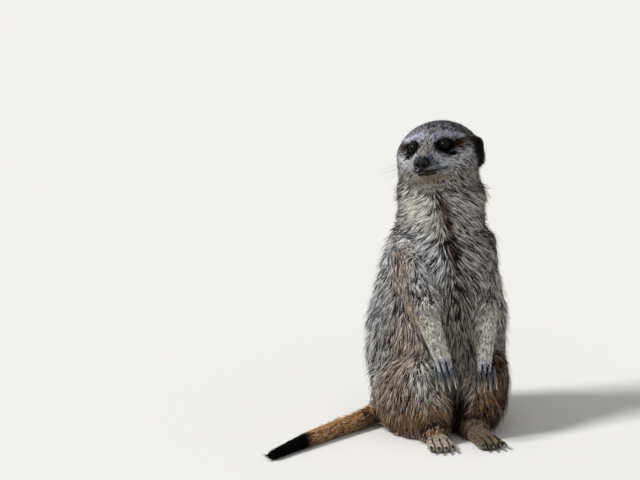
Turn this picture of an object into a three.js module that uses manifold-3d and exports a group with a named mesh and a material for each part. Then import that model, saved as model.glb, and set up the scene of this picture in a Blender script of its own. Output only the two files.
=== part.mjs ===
// A meerkat sitting upright on its haunches and looking to its right, life size, as a still model.
// Millimetres, +Z up. The hips and hind feet face -Y and the animal's left is +X.
// Each solid is the outside of the coat, out to the tips of the hair, and stands clear of the next by GAP.
import * as THREE from "three";
import { mergeVertices } from "three/addons/utils/BufferGeometryUtils.js";
import Module from "manifold-3d";

const wasm = await Module();
wasm.setup();

// ---- driving dimensions ----
const GAP = 0.3; // clear space between neighbouring solids
const SIDES = { left: 1, right: -1 }; // the way that each side lies along X

// Trunk and neck: [x, y, z, half width, chest side, back side, turn in degrees]
const TRUNK = [
  [0, 8, 6, 36, 34, 44, 0],
  [0, 6, 30, 50, 43, 54, 0],
  [0, 6, 62, 61.5, 46, 57, 0],
  [1, 6, 96, 61, 48, 57, 0],
  [1, 4, 124, 55, 45, 51, -3],
  [0, 3, 150, 48, 40, 46, -7],
  [1, 2, 172, 41.5, 35, 40, -13],
  [1.5, 1, 194, 36.3, 32, 35, -22],
  [-0.5, 1, 216, 36.8, 31.5, 34, -34],
  [-3, 1, 239, 37, 30.5, 33, -42],
];
const NECK_BASE = 184; // height of the parting between trunk and neck

// Head: where the middle of the eyes is, then how it is turned, in degrees
const EYES_AT = [-18, -16.8, 253.5];
const HEAD_TURN = { right: 44, noseUp: 8, leftUp: 10.5 };
// From the nape to the muzzle: [ahead of the eyes, half width, top, bottom]
const HEAD_WIDEST = -12.5; // height of its widest line
const HEAD = [
  [-45, 27, 12, -28],
  [-36, 35.5, 19, -36],
  [-24, 38.2, 21.2, -38],
  [-13, 37.2, 19, -38],
  [-5, 30, 14.5, -37],
  [0, 22.5, 10, -34],
  [6, 15.5, 3.5, -31.5],
  [13, 11.5, -2, -28],
  [20, 9, -5.5, -24.5],
];
const EYE = { apart: 27, radius: 5.1, behind: 0.4 };
const ORBIT = { size: [7.4, 4.4, 5.8], out: 2, ahead: 5.6, turn: 36 };
const NOSE = { ahead: 23.5, height: -12.5, size: [6.2, 4.6, 6] };
const MOUTH = { height: -22, cornerAhead: 3 }; // from the eyes
const EAR = {
  apart: 70.5,
  behind: 30,
  height: -10.3,
  size: [4.4, 9.6, 14.4],
  flare: 24,
  lean: 4,
  facets: [12, 7],
};
const EAR_BOWL = { forward: 4, size: [3.4, 5.6, 8] };

// Arms, with the turn of each hanging hand about X, Y and Z
const ARMS = {
  left: { shoulder: [34, -3, 160], elbow: [32, -26, 117], wrist: [18.5, -54, 70], hand: [-6, -5, -10] },
  right: { shoulder: [-31, -2, 160], elbow: [-31, -32, 122], wrist: [-24, -61, 77.5], hand: [-6, -8, -24] },
};
const ARM = { shoulder: 16, aboveElbow: 14.8, elbow: 11.5, forearm: 9.2, wrist: 6.8 }; // radii
const ARM_FRONT = [0.4, -1, 0.2]; // the way that the left arm's rings face
// Hand, from the wrist to the knuckles: [down the hand, half width, half depth]
const PALM = [
  [-3, 7, 6.4],
  [2.5, 7.8, 5.2],
  [6.5, 7.9, 4],
];
const FINGER = { length: 5.4, radius: 2.2, tipRadius: 1.95, spacing: 4.4, splay: 3 };
const FORE_CLAW = { length: 18, radius: 1.8, curl: 40, ahead: -2.4, raised: 0.8 };

// Haunch, from the rump to the knee: [out to the side, y, z, half width, up, down]
const HAUNCH = [
  [26, 38, 38, 17, 20, 42],
  [32, 18, 48, 25.5, 29, 50],
  [34.5, -8, 46, 25, 35, 60],
  [30, -32, 45, 22, 29, 50],
];
const OUTWARD = { left: -0.5, right: 0 }; // how much further out than that each haunch sits
// Shin, from the foot to the knee: [height, half width, front, back]
const SHIN = [
  [8, 13, 11, 20],
  [26, 17.5, 13, 24],
  [50, 15, 9, 22],
];
const SHINS = {
  left: { foot: [18, -46], knee: [22.5, -38] },
  right: { foot: [-24.5, -46], knee: [-27, -38] },
};
const FEET = {
  left: { heel: [9, -32], toes: [13, -86] },
  right: { heel: [-18.5, -20], toes: [-31, -77] },
};
// Hind foot, from the heel: [share of the foot's length, middle height, half width, up, down]
const SOLE = [
  [-0.07, 9, 8.5, 9, 12],
  [0.35, 6.5, 8, 9.5, 9],
  [0.62, 5.5, 10.2, 8.4, 7.5],
  [0.78, 4.6, 10.8, 7, 6.4],
];
// Toe, from its root: [share of its length, half width, up, down]
const TOE_SECTIONS = [
  [0, 3.1, 4.6, 4.8],
  [0.55, 2.95, 4.8, 4.8],
  [1, 2.6, 2.9, 4.7],
];
const TOE = { length: 14, height: 4.4, spacing: 5.3, splay: 4 };
const HIND_CLAW = { length: 8.5, radius: 1.8, curl: 58, ahead: -0.4, raised: 1.2 };

// Tail, from its root under the rump round to the right: [x, y, z, radius]
const TAIL = [
  [5, 40, 17, 12],
  [-12, 56, 11, 9.8],
  [-36, 41, 9, 8.4],
  [-56, 23, 8.2, 8.1],
  [-76, 12, 7.8, 7.8],
  [-99, 1, 7.2, 7.3],
  [-124, -12, 6.2, 6.6],
  [-149, -26, 5.2, 5.6],
  [-172, -40, 4.2, 4.4],
];
const TAIL_PARTINGS = [-62, -128]; // where it parts into lengths, along X

// Facets of each body of rings: sides of a ring, steps along the line, rings in each round end, and how
// far the two ends reach past the first and last stations
const FACETS = {
  head: { sides: 18, steps: 9, round: 2, caps: [7, 3.5] },
  trunk: { sides: 16, steps: 9, round: 2, caps: [9, 8] },
  tail: { sides: 8, steps: 10, round: 2, caps: [4, 5] },
  arm: { sides: 10, steps: 7, round: 2, caps: [14, 1] },
  palm: { sides: 8, steps: 2, round: 1, caps: [2, 2.5] },
  finger: { sides: 5, steps: 1, round: 1, caps: [1, 1.8] },
  thigh: { sides: 12, steps: 4, round: 1, caps: [14, 17] },
  shin: { sides: 8, steps: 2, round: 1, caps: [5, 8] },
  sole: { sides: 10, steps: 3, round: 1, caps: [6, 4] },
  toe: { sides: 6, steps: 2, round: 1, caps: [1, 2.6] },
  claw: { sides: 5, steps: 2, round: 1, caps: [0.6, 0.5] },
};
const ROUND = [10, 6]; // facets of an egg shape, around and down
const HOLLOW = [8, 5]; // facets of an egg shape that is cut out
const TENSION = 0.5; // of the curves through the stations
const TOUCHING = 1e-4; // corners nearer than this are one

// ---- shaping ----
const UP = [0, 0, 1];
const DOWN = [0, 0, -1];
const FORWARD = [0, -1, 0];
const BACKWARD = [0, 1, 0];
const LEFTWARD = [1, 0, 0];
const degrees = THREE.MathUtils.degToRad;
const between = (a, b, t) => a.map((v, i) => v + (b[i] - v) * t);
const curve = (points) =>
  new THREE.CatmullRomCurve3(points.map((p) => new THREE.Vector3(...p)), false, "catmullrom", TENSION);

// A closed body of oval rings strung along stations { at, size: [half width, front, back], front },
// where front is the way that the second half size points. It is larger by grow all round, and its rings
// stand across the line, or across "along" if that is given.
function ovalBody(stations, { sides, steps, round, caps }, grow = 0, along = null) {
  const [line, sizes, fronts] = ["at", "size", "front"].map((key) => curve(stations.map((s) => s[key])));
  const heading = (t) => (along ? new THREE.Vector3(...along) : line.getTangent(t));
  const positions = [];
  const addRing = (t, scale, shift) => {
    const across = heading(t);
    const wide = fronts.getPoint(t).cross(across).normalize();
    const ahead = across.clone().cross(wide);
    const middle = line.getPoint(t).addScaledVector(across, shift);
    const [halfWidth, front, back] = sizes.getPoint(t).toArray().map((s) => (s + grow) * scale);
    for (let i = 0; i < sides; i++) {
      const a = (i / sides) * 2 * Math.PI;
      const reach = Math.sin(a) > 0 ? front : back;
      const p = middle.clone().addScaledVector(wide, halfWidth * Math.cos(a));
      positions.push(...p.addScaledVector(ahead, reach * Math.sin(a)).toArray());
    }
  };
  const capAngles = Array.from({ length: round }, (_, k) => ((k + 1) / (round + 1)) * (Math.PI / 2));
  const reaches = caps.map((c) => c + grow);
  for (const a of [...capAngles].reverse()) addRing(0, Math.cos(a), -reaches[0] * Math.sin(a));
  for (let k = 0; k <= steps; k++) addRing(k / steps, 1, 0);
  for (const a of capAngles) addRing(1, Math.cos(a), reaches[1] * Math.sin(a));
  const rings = positions.length / 3 / sides;
  for (const t of [0, 1]) {
    const pole = line.getPoint(t).addScaledVector(heading(t), t ? reaches[1] : -reaches[0]);
    positions.push(...pole.toArray());
  }
  const poles = [rings * sides, rings * sides + 1];
  const faces = [];
  for (let i = 0; i < sides; i++) {
    const next = (i + 1) % sides;
    for (let low = 0; low < (rings - 1) * sides; low += sides) {
      const high = low + sides;
      faces.push(low + i, low + next, high + next, low + i, high + next, high + i);
    }
    faces.push(poles[0], next, i);
    faces.push(poles[1], poles[0] - sides + i, poles[0] - sides + next);
  }
  const geometry = new THREE.BufferGeometry();
  geometry.setAttribute("position", new THREE.Float32BufferAttribute(positions, 3));
  geometry.setIndex(faces);
  return geometry;
}

function ellipsoid(at, size, { facets = ROUND, grow = 0, turn = [0, 0, 0] } = {}) {
  const g = new THREE.SphereGeometry(1, ...facets).rotateX(Math.PI / 2);
  g.scale(...size.map((s) => s + grow));
  g.applyMatrix4(new THREE.Matrix4().makeRotationFromEuler(new THREE.Euler(...turn.map(degrees))));
  return g.translate(...at);
}

function solid(geometry) {
  for (const name of ["normal", "uv"]) geometry.deleteAttribute(name);
  const g = mergeVertices(geometry, TOUCHING);
  const vertProperties = new Float32Array(g.attributes.position.array);
  return new wasm.Manifold(
    new wasm.Mesh({ numProp: 3, vertProperties, triVerts: new Uint32Array(g.index.array) }),
  );
}

const join = (solids) => solids.reduce((all, s) => all.add(s));
const largest = (body) =>
  body.decompose().reduce((best, piece) => (piece.volume() > best.volume() ? piece : best));
// What is left of a body on the near side of the limit along way.
const upTo = (body, way, limit) => body.trimByPlane(way.map((v) => -v), -limit);

// ---- the model: each new part is cut clear of the floor and of every part before it ----
const model = new THREE.Group();
const FLOOR = { wide: 800, deep: 100 };
let taken = solid(
  new THREE.BoxGeometry(FLOOR.wide, FLOOR.wide, FLOOR.deep).translate(0, 0, -FLOOR.deep / 2),
);

const finish = (color, roughness) => new THREE.MeshStandardMaterial({ color, roughness, metalness: 0 });
const finishes = {
  grizzled: finish(0x8c8074, 0.95),
  pale: finish(0xb3a898, 0.95),
  tawny: finish(0x8f6a45, 0.95),
  black: finish(0x1c1917, 0.9),
  nose: finish(0x2a2322, 0.45),
  eye: finish(0x0d0a09, 0.08),
  claw: finish(0x39383d, 0.4),
};

function group(at, turn, order = "XYZ") {
  const g = new THREE.Group();
  g.position.set(...at);
  g.rotation.set(...turn.map(degrees), order);
  g.updateMatrix();
  model.add(g);
  return g;
}

// shape(grow) gives the part's solid in its group's frame, larger by grow all round.
function addPart(name, look, shape, holder = model) {
  const place = holder.matrix.elements;
  const body = shape(0).transform(place).subtract(taken);
  taken = taken.add(shape(GAP).transform(place));
  const made = largest(body).transform(holder.matrix.clone().invert().elements).getMesh();
  const geometry = new THREE.BufferGeometry();
  geometry.setAttribute("position", new THREE.BufferAttribute(made.vertProperties, 3));
  geometry.setIndex(new THREE.BufferAttribute(made.triVerts, 1));
  geometry.computeVertexNormals();
  const mesh = new THREE.Mesh(geometry, finishes[look]);
  mesh.name = name;
  holder.add(mesh);
}

// ---- head: its frame is at the middle of the eyes and faces -Y ----
const head = group(EYES_AT, [-HEAD_TURN.noseUp, -HEAD_TURN.leftUp, -HEAD_TURN.right], "ZXY");

function headShape(grow) {
  const stations = HEAD.map(([ahead, wide, top, bottom]) => ({
    at: [0, -ahead, HEAD_WIDEST],
    size: [wide, top - HEAD_WIDEST, HEAD_WIDEST - bottom],
    front: UP,
  }));
  return solid(ovalBody(stations, FACETS.head, grow, FORWARD));
}

function earShape(side, grow) {
  const at = [(side * EAR.apart) / 2, EAR.behind, EAR.height];
  const turn = [0, side * EAR.lean, side * EAR.flare];
  const flap = solid(ellipsoid(at, EAR.size, { facets: EAR.facets, grow, turn }));
  if (grow) return flap;
  const bowl = [at[0] + side * EAR.size[0], at[1] - EAR_BOWL.forward, at[2]];
  return flap.subtract(solid(ellipsoid(bowl, EAR_BOWL.size, { facets: HOLLOW, turn })));
}

function orbitShape(side) {
  const at = [side * (EYE.apart / 2 + ORBIT.out), -ORBIT.ahead, 0];
  return solid(ellipsoid(at, ORBIT.size, { facets: HOLLOW, turn: [0, 0, side * ORBIT.turn] }));
}

function buildHead() {
  const noseAt = [0, -NOSE.ahead, NOSE.height];
  addPart("nose", "nose", (grow) => solid(ellipsoid(noseAt, NOSE.size, { grow })), head);
  for (const [name, side] of Object.entries(SIDES)) {
    const eyeAt = [(side * EYE.apart) / 2, EYE.behind, 0];
    const eyeSize = Array(3).fill(EYE.radius);
    addPart("eye_" + name, "eye", (grow) => solid(ellipsoid(eyeAt, eyeSize, { grow })), head);
    addPart("ear_" + name, "black", (grow) => earShape(side, grow), head);
  }
  const [left, right] = Object.values(SIDES).map(orbitShape);
  const skull = (grow) => headShape(grow).subtract(left).subtract(right);
  const jaw = (grow) => {
    const chin = upTo(skull(grow), UP, MOUTH.height + grow);
    return upTo(chin, BACKWARD, grow - MOUTH.cornerAhead);
  };
  addPart("lower_jaw", "pale", jaw, head);
  addPart("head", "grizzled", skull, head);
}

// ---- claws and digits ----
const ACROSS = [-1.5, -0.5, 0.5, 1.5]; // the places of the four digits, in spacings
const DIGIT_LENGTHS = { middle: 1.06, lossOutwards: 0.09 }; // shares of a digit's length
const CLAW = { links: 4, taper: 0.78, keepsFull: 1.6, section: [0.9, 1, 1.15], liftsFirst: 0.2 };

// A claw from the tip of a digit, bending by curl degrees towards the under side.
function clawShape({ way, tip }, under, { length, radius, curl, ahead, raised }, grow) {
  const { links, taper, keepsFull, section, liftsFirst } = CLAW;
  const axis = new THREE.Vector3(...way).cross(new THREE.Vector3(...under));
  const at = new THREE.Vector3(...tip.map((v, i) => v + way[i] * ahead - under[i] * raised));
  const stations = [];
  for (let k = 0; k <= links; k++) {
    const slim = radius * (1 - taper * (k / links) ** keepsFull);
    const size = section.map((s) => s * slim);
    stations.push({ at: at.toArray(), size, front: under.map((v) => -v) });
    const bend = degrees(curl * (k / links - liftsFirst));
    at.addScaledVector(new THREE.Vector3(...way).applyAxisAngle(axis, bend), length / links);
  }
  return solid(ovalBody(stations, FACETS.claw, grow));
}

// Four digits fanned from a paw, the middle two longest: each is { way, root, tip } in the paw's frame.
function fan({ length, spacing, splay }, root, ahead, outwards) {
  return ACROSS.map((k) => {
    const a = degrees(k * splay);
    const way = ahead.map((v, i) => v * Math.cos(a) + outwards[i] * Math.sin(a));
    const own = length * (DIGIT_LENGTHS.middle - DIGIT_LENGTHS.lossOutwards * k * k);
    const start = root.map((v, i) => v + outwards[i] * k * spacing);
    return { way, root: start, tip: start.map((v, i) => v + way[i] * own) };
  });
}

// ---- hands, hanging from the wrist ----
function buildHand(name) {
  const { wrist, hand } = ARMS[name];
  const paw = group(wrist, hand, "ZYX");
  const [knuckles] = PALM.at(-1);
  const digits = fan(FINGER, [0, 0, -knuckles], DOWN, LEFTWARD);
  digits.forEach((digit, i) => {
    const shape = (grow) => clawShape(digit, BACKWARD, FORE_CLAW, grow);
    addPart(`fore_claw_${name}_${i + 1}`, "claw", shape, paw);
  });
  const shape = (grow) => {
    const sections = PALM.map(([down, wide, deep]) => ({
      at: [0, 0, -down],
      size: [wide, deep, deep],
      front: FORWARD,
    }));
    const palm = solid(ovalBody(sections, FACETS.palm, grow));
    const fingers = digits.map(({ root, tip }) => {
      const ends = [
        { at: root, size: Array(3).fill(FINGER.radius), front: FORWARD },
        { at: tip, size: Array(3).fill(FINGER.tipRadius), front: FORWARD },
      ];
      return solid(ovalBody(ends, FACETS.finger, grow));
    });
    return join([palm, ...fingers]);
  };
  addPart("forepaw_" + name, "pale", shape, paw);
}

function armShape(name, grow) {
  const { shoulder, elbow, wrist } = ARMS[name];
  const [out, ...rest] = ARM_FRONT;
  const front = [SIDES[name] * out, ...rest];
  const round = (at, radius) => ({ at, size: Array(3).fill(radius), front });
  const stations = [
    round(shoulder, ARM.shoulder),
    round(between(shoulder, elbow, 0.5), ARM.aboveElbow),
    round(elbow, ARM.elbow),
    round(between(elbow, wrist, 0.5), ARM.forearm),
    round(wrist, ARM.wrist),
  ];
  return solid(ovalBody(stations, FACETS.arm, grow));
}

function buildArm(name) {
  const [, , elbowHeight] = ARMS[name].elbow;
  const forearm = (grow) => upTo(armShape(name, grow), UP, elbowHeight + grow);
  addPart("forearm_" + name, "pale", forearm);
  addPart("upper_arm_" + name, "grizzled", (grow) => armShape(name, grow));
}

// ---- hind feet, soles on the floor, and haunches ----
function buildFoot(name) {
  const { heel, toes: front } = FEET[name];
  const [left, back] = [front[0] - heel[0], front[1] - heel[1]];
  const long = Math.hypot(left, back);
  const heading = THREE.MathUtils.radToDeg(Math.atan2(left, -back));
  const foot = group([...heel, 0], [0, 0, heading]);
  const digits = fan(TOE, [0, TOE.length - long, TOE.height], FORWARD, LEFTWARD);
  digits.forEach((digit, i) => {
    const shape = (grow) => clawShape(digit, DOWN, HIND_CLAW, grow);
    addPart(`hind_claw_${name}_${i + 1}`, "claw", shape, foot);
  });
  const shape = (grow) => {
    const sections = SOLE.map(([share, z, wide, up, down]) => ({
      at: [0, -share * long, z],
      size: [wide, up, down],
      front: UP,
    }));
    const sole = solid(ovalBody(sections, FACETS.sole, grow));
    const toes = digits.map(({ way, root, tip }) => {
      const toe = TOE_SECTIONS.map(([share, ...size]) => ({
        at: between(root, tip, share),
        size,
        front: UP,
      }));
      return solid(ovalBody(toe, FACETS.toe, grow, way));
    });
    return join([sole, ...toes]);
  };
  addPart("hind_foot_" + name, "tawny", shape, foot);
}

function haunchShape(name, grow) {
  const { foot, knee } = SHINS[name];
  const [[low], [high]] = [SHIN[0], SHIN.at(-1)];
  const thigh = HAUNCH.map(([out, y, z, wide, up, down]) => ({
    at: [SIDES[name] * (out + OUTWARD[name]), y, z],
    size: [wide, up, down],
    front: UP,
  }));
  const shin = SHIN.map(([z, ...size]) => ({
    at: [...between(foot, knee, (z - low) / (high - low)), z],
    size,
    front: FORWARD,
  }));
  return join([
    solid(ovalBody(thigh, FACETS.thigh, grow, FORWARD)),
    solid(ovalBody(shin, FACETS.shin, grow, UP)),
  ]);
}

// ---- tail and trunk ----
function tailShape(grow) {
  const stations = TAIL.map(([x, y, z, radius]) => ({
    at: [x, y, z],
    size: Array(3).fill(radius),
    front: UP,
  }));
  return solid(ovalBody(stations, FACETS.tail, grow));
}

function trunkShape(grow) {
  const stations = TRUNK.map(([x, y, z, wide, chest, back, turn]) => ({
    at: [x, y, z],
    size: [wide, chest, back],
    front: [Math.sin(degrees(turn)), -Math.cos(degrees(turn)), 0],
  }));
  return solid(ovalBody(stations, FACETS.trunk, grow, UP));
}

buildHead();
for (const name of Object.keys(SIDES)) {
  buildHand(name);
  buildArm(name);
}
for (const name of Object.keys(SIDES)) {
  buildFoot(name);
  addPart("haunch_" + name, "tawny", (grow) => haunchShape(name, grow));
}
addPart("neck", "pale", (grow) => upTo(trunkShape(grow), DOWN, grow - NECK_BASE));
addPart("trunk", "grizzled", trunkShape);
const tailEnd = (x) => (grow) => upTo(tailShape(grow), LEFTWARD, x + grow);
addPart("tail_tip", "black", tailEnd(TAIL_PARTINGS[1]));
addPart("tail_middle", "tawny", tailEnd(TAIL_PARTINGS[0]));
addPart("tail_root", "tawny", tailShape);

export default model;
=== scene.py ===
# A meerkat sitting upright, as a still life-size model: skin, coat, eyes, nose, claws and whiskers.
# The frame is loaded first, and every piece takes its place from it. Metres, +Z up.
import math

import bmesh
import bpy
import numpy as np
from bpy.props import FloatProperty, FloatVectorProperty, PointerProperty
from mathutils import Matrix, Vector
from mathutils.bvhtree import BVHTree
from mathutils.kdtree import KDTree


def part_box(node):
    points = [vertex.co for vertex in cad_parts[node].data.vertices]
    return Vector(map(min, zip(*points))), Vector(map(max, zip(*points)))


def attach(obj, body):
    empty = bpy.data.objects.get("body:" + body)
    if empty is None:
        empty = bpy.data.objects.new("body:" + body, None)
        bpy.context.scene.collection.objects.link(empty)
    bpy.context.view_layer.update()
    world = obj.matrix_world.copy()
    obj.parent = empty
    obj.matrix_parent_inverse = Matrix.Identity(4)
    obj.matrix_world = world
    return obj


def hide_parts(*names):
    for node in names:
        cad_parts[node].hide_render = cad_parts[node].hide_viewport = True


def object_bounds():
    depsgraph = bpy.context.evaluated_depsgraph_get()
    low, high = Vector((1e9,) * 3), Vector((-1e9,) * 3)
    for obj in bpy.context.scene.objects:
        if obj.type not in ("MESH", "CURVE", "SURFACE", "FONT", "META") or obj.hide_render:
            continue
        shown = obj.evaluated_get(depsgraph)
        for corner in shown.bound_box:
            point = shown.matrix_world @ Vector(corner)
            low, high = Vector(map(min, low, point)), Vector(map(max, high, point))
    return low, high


bl_info = {
    "name": "Meerkat figure",
    "version": (1, 0, 0),
    "blender": (4, 5, 0),
    "location": "View3D > Sidebar > Meerkat",
    "description": "Skin, coat, eyes, nose, claws, whiskers and stage of a sitting meerkat",
    "category": "Object",
}

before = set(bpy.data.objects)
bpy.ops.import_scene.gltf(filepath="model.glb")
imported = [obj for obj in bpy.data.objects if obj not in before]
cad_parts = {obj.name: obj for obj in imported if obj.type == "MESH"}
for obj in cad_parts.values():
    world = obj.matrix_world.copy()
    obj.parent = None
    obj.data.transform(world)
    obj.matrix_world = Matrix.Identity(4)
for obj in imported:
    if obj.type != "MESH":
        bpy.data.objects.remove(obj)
CAD_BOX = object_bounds()

MM = 0.001
BODY = "root"
SIDES = {"left": 1, "right": -1}
DIGITS = (1, 2, 3, 4)
SEED = 41
WELD = 0.001 * MM  # vertices of a node that lie so near each other are one
TINY, TINY_SQUARE = 1e-9, 1e-20  # least length and least squared area that something is divided by


# ---- places, taken from the frame ----
def both(*parts):
    return [f"{part}_{side}" for side in SIDES for part in parts]


FLESH = ["head", "lower_jaw", "neck", "trunk", "tail_root", "tail_middle", "tail_tip"]
FLESH += both("ear", "upper_arm", "forearm", "forepaw", "haunch", "hind_foot")


def part_of(node):
    for side in SIDES:
        node = node.removesuffix("_" + side)
    return node


def centre(node):
    low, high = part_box(node)
    return (low + high) / 2


def claws_of(digit, side):
    return [f"{digit}_claw_{side}_{k}" for k in DIGITS]


def mean_centre(nodes):
    return sum((centre(n) for n in nodes), Vector()) / len(nodes)


NOSE_DROP = math.radians(27.6)  # the nose lies this far under the line of sight


def head_frame():
    """Frame at the middle of the eyes: X to the animal's left, Y backwards, Z over the crown."""
    eyes = [centre("eye_left"), centre("eye_right")]
    middle = (eyes[0] + eyes[1]) / 2
    left = (eyes[0] - eyes[1]).normalized()
    to_nose = centre("nose") - middle
    to_nose = (to_nose - left * to_nose.dot(left)).normalized()
    square = to_nose.cross(left)
    forward = to_nose * math.cos(NOSE_DROP) + square * math.sin(NOSE_DROP)
    up = forward.cross(left)
    turn = Matrix((left, -forward, up)).transposed().to_4x4()
    return Matrix.Translation(middle) @ turn


HEAD = head_frame()
HEAD_TURN = np.array(HEAD.to_3x3())
HEAD_AT = np.array(HEAD.translation)


def in_head(points):
    """Points given in metres, as mm in the head's frame."""
    return (points - HEAD_AT) @ HEAD_TURN / MM


def middle_in_head(node):
    return in_head(np.array(centre(node)))


def from_head(*mm):
    return HEAD @ Vector([v * MM for v in mm])


def towards(azimuth, elevation):
    """Unit vector towards an azimuth, from the front to the left, and an elevation, in radians."""
    flat = math.cos(elevation)
    return Vector((math.sin(azimuth) * flat, -math.cos(azimuth) * flat, math.sin(elevation)))


# ---- what a user would change ----
def tint(code):
    """A colour written as 0xRRGGBB, in the linear values that Blender keeps."""
    channels = [(code >> shift & 255) / 255 for shift in (16, 8, 0)]
    return tuple(c / 12.92 if c <= 0.04045 else ((c + 0.055) / 1.055) ** 2.4 for c in channels)


# Hair of each kind: pale hairs, dark hairs, share of dark hairs, how dark the tips of pale hairs are
HAIR = {
    "grizzled": (0xECE8E4, 0x100D0C, 0.57, 0.4),
    "dun": (0xEAD8C6, 0x160E08, 0.53, 0.35),
    "silver": (0xFAFBFD, 0x161516, 0.46, 0.3),
    "frost": (0xFBF9F5, 0x3A3632, 0.34, 0.1),
    "fawn": (0xF2DED0, 0x1E1511, 0.46, 0.3),
    "cream": (0xF6F3EA, 0x70695E, 0.26, 0.15),
    "white": (0xFAFCFF, 0x2C3038, 0.18, 0.1),
    "brow": (0xE0E3F0, 0x3C3D48, 0.2, 0.1),
    "crown": (0xCCC8D0, 0x0D0B0E, 0.58, 0.4),
    "bridge": (0xD2CECA, 0x2A2625, 0.46, 0.25),
    "muzzle": (0x98A2B2, 0x1F232C, 0.44, 0.2),
    "cheek": (0xF2EBE2, 0x16120F, 0.5, 0.3),
    "black": (0x0C0B0D, 0x030304, 0.5, 0.0),
    "russet": (0x684232, 0x150D0A, 0.46, 0.15),
    "lip": (0x3A2420, 0x120B0A, 0.5, 0.0),
    "chin": (0xBCB299, 0x5A5142, 0.36, 0.15),
    "umber": (0x826F64, 0x110B08, 0.57, 0.4),
    # painted shade: laid between the legs, at the ankles, on an inner heel and along the chest's parting
    "shade": (0x55443A, 0x0B0705, 0.58, 0.3),
    "belly": (0xC8C2B8, 0x0E0C0B, 0.6, 0.3),
    "rust": (0xB08A66, 0x28180D, 0.47, 0.2),
    # darker rust: the rust coat with painted shade, for the haunch away from the key lamp
    "bark": (0x664A34, 0x140C06, 0.52, 0.2),
    "straw": (0xEADCC0, 0x4A3A2A, 0.34, 0.2),
    "tan": (0xF8ECDA, 0xB2A28C, 0.37, 0.1),
    # darker tan: the tan of the feet with painted shade, for the foot away from the key lamp
    "loam": (0x9E8E78, 0x584A36, 0.4, 0.1),
    "digit": (0xF2F4FC, 0x3C4048, 0.28, 0.0),
    "ginger": (0xDEB68A, 0x785436, 0.38, 0.1),
    "pink": (0xC8A89C, 0x4A352E, 0.42, 0.0),
}


def colour(name, code, description):
    return FloatVectorProperty(
        name=name, description=description, subtype="COLOR", size=3, min=0, max=1, default=tint(code)
    )


def number(name, default, description, **facts):
    return FloatProperty(name=name, default=default, description=description, **facts)


DISTANCE = {"subtype": "DISTANCE", "unit": "LENGTH"}
ANGLE = {"subtype": "ANGLE", "unit": "ROTATION"}


class MeerkatHair(bpy.types.PropertyGroup):
    """Colours of the pale and the dark hairs in each part of the markings and of the painted shade"""

    __annotations__ = {
        f"{kind}_{tone}": colour(f"{kind} {tone}", code, f"{tone} hairs where the coat is {kind}")
        for kind, (pale, dark, _, _) in HAIR.items()
        for tone, code in (("pale", pale), ("dark", dark))
    }


class MeerkatFinish(bpy.types.PropertyGroup):
    """Sizes and colours of the skin, eyes, nose and claws"""

    skin_grain: number(
        "Skin grain", 1.1 * MM, "Edge of the skin's faces",
        min=0.6 * MM, max=4 * MM, precision=4, **DISTANCE,
    )
    coat_length: number(
        "Coat length", 1, "Length of every tuft, as a share of its usual length",
        min=0.2, max=1.5, subtype="FACTOR",
    )
    coat_fill: number(
        "Coat fill", 1, "Number of tufts, as a share of the usual number",
        min=0.05, max=1.2, subtype="FACTOR",
    )
    bare_skin: colour("Bare skin", 0x080607, "Skin of the lids")
    lip_skin: colour("Lip skin", 0x2A1715, "Skin of the lips")
    nose_leather: colour("Nose leather", 0x0D0A0B, "Skin of the nose")
    iris: colour("Iris", 0x040303, "Ring round the pupil")
    fore_claw_root: colour("Fore claw root", 0x36424C, "Horn where a fore claw leaves the finger")
    fore_claw_tip: colour("Fore claw tip", 0xA8A5A0, "Horn at the tip of a fore claw")
    hind_claw_root: colour("Hind claw root", 0x1A1B20, "Horn where a hind claw leaves the toe")
    hind_claw_tip: colour("Hind claw tip", 0x1E1D1E, "Horn at the tip of a hind claw")
    whisker: colour("Whisker", 0x9C9A98, "Whiskers")


class MeerkatStage(bpy.types.PropertyGroup):
    """Floor, light and camera"""

    azimuth: number(
        "Azimuth", math.radians(-24), "Turn of the camera about the figure, from its front", **ANGLE
    )
    elevation: number(
        "Elevation", math.radians(15), "Height of the camera above the horizon", **ANGLE
    )
    distance: number("Distance", 4, "From the camera to the figure", min=1, **DISTANCE)
    lens: number(
        "Lens", 261.7, "Focal length on a sensor 36 mm wide",
        min=10, subtype="DISTANCE_CAMERA", unit="CAMERA",
    )
    aim_left: number(
        "Aim to the left", 103.2 * MM, "How far left of the figure's middle the camera aims", **DISTANCE
    )
    aim_above: number(
        "Aim above", 26.7 * MM, "How far above the figure's middle the camera aims", **DISTANCE
    )
    floor: colour("Floor", 0xE9E8E5, "Floor and background")
    key_light: number("Key light", 3.0, "Strength of the main lamp", min=0)
    fill_light: number("Fill light", 0.25, "Strength of the second lamp", min=0)
    sky_light: number("Sky light", 0.36, "Strength of the light from all round", min=0)


# ---- meshes and fields over a mesh ----
def new_object(name, mesh, material=None):
    obj = bpy.data.objects.new(name, mesh)
    bpy.context.scene.collection.objects.link(obj)
    if material:
        mesh.materials.append(material)
    return obj


def object_from(name, bm, material=None, smooth=True):
    """A new object from a bmesh, which is used up."""
    mesh = bpy.data.meshes.new(name)
    bm.to_mesh(mesh)
    bm.free()
    mesh.shade_smooth() if smooth else mesh.shade_flat()
    return new_object(name, mesh, material)


def finished(obj, slot, *nodes):
    """obj rides on the body and stands for the nodes, which it hides. The slot is not used."""
    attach(obj, BODY)
    if nodes:
        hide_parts(*nodes)
    return obj


def subdivide(obj, levels):
    modifier = obj.modifiers.new("round", "SUBSURF")
    modifier.levels = modifier.render_levels = levels


def apply_modifiers(obj):
    depsgraph = bpy.context.evaluated_depsgraph_get()
    mesh = bpy.data.meshes.new_from_object(obj.evaluated_get(depsgraph))
    obj.modifiers.clear()
    old, obj.data = obj.data, mesh
    mesh.name = obj.name
    bpy.data.meshes.remove(old)


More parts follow.
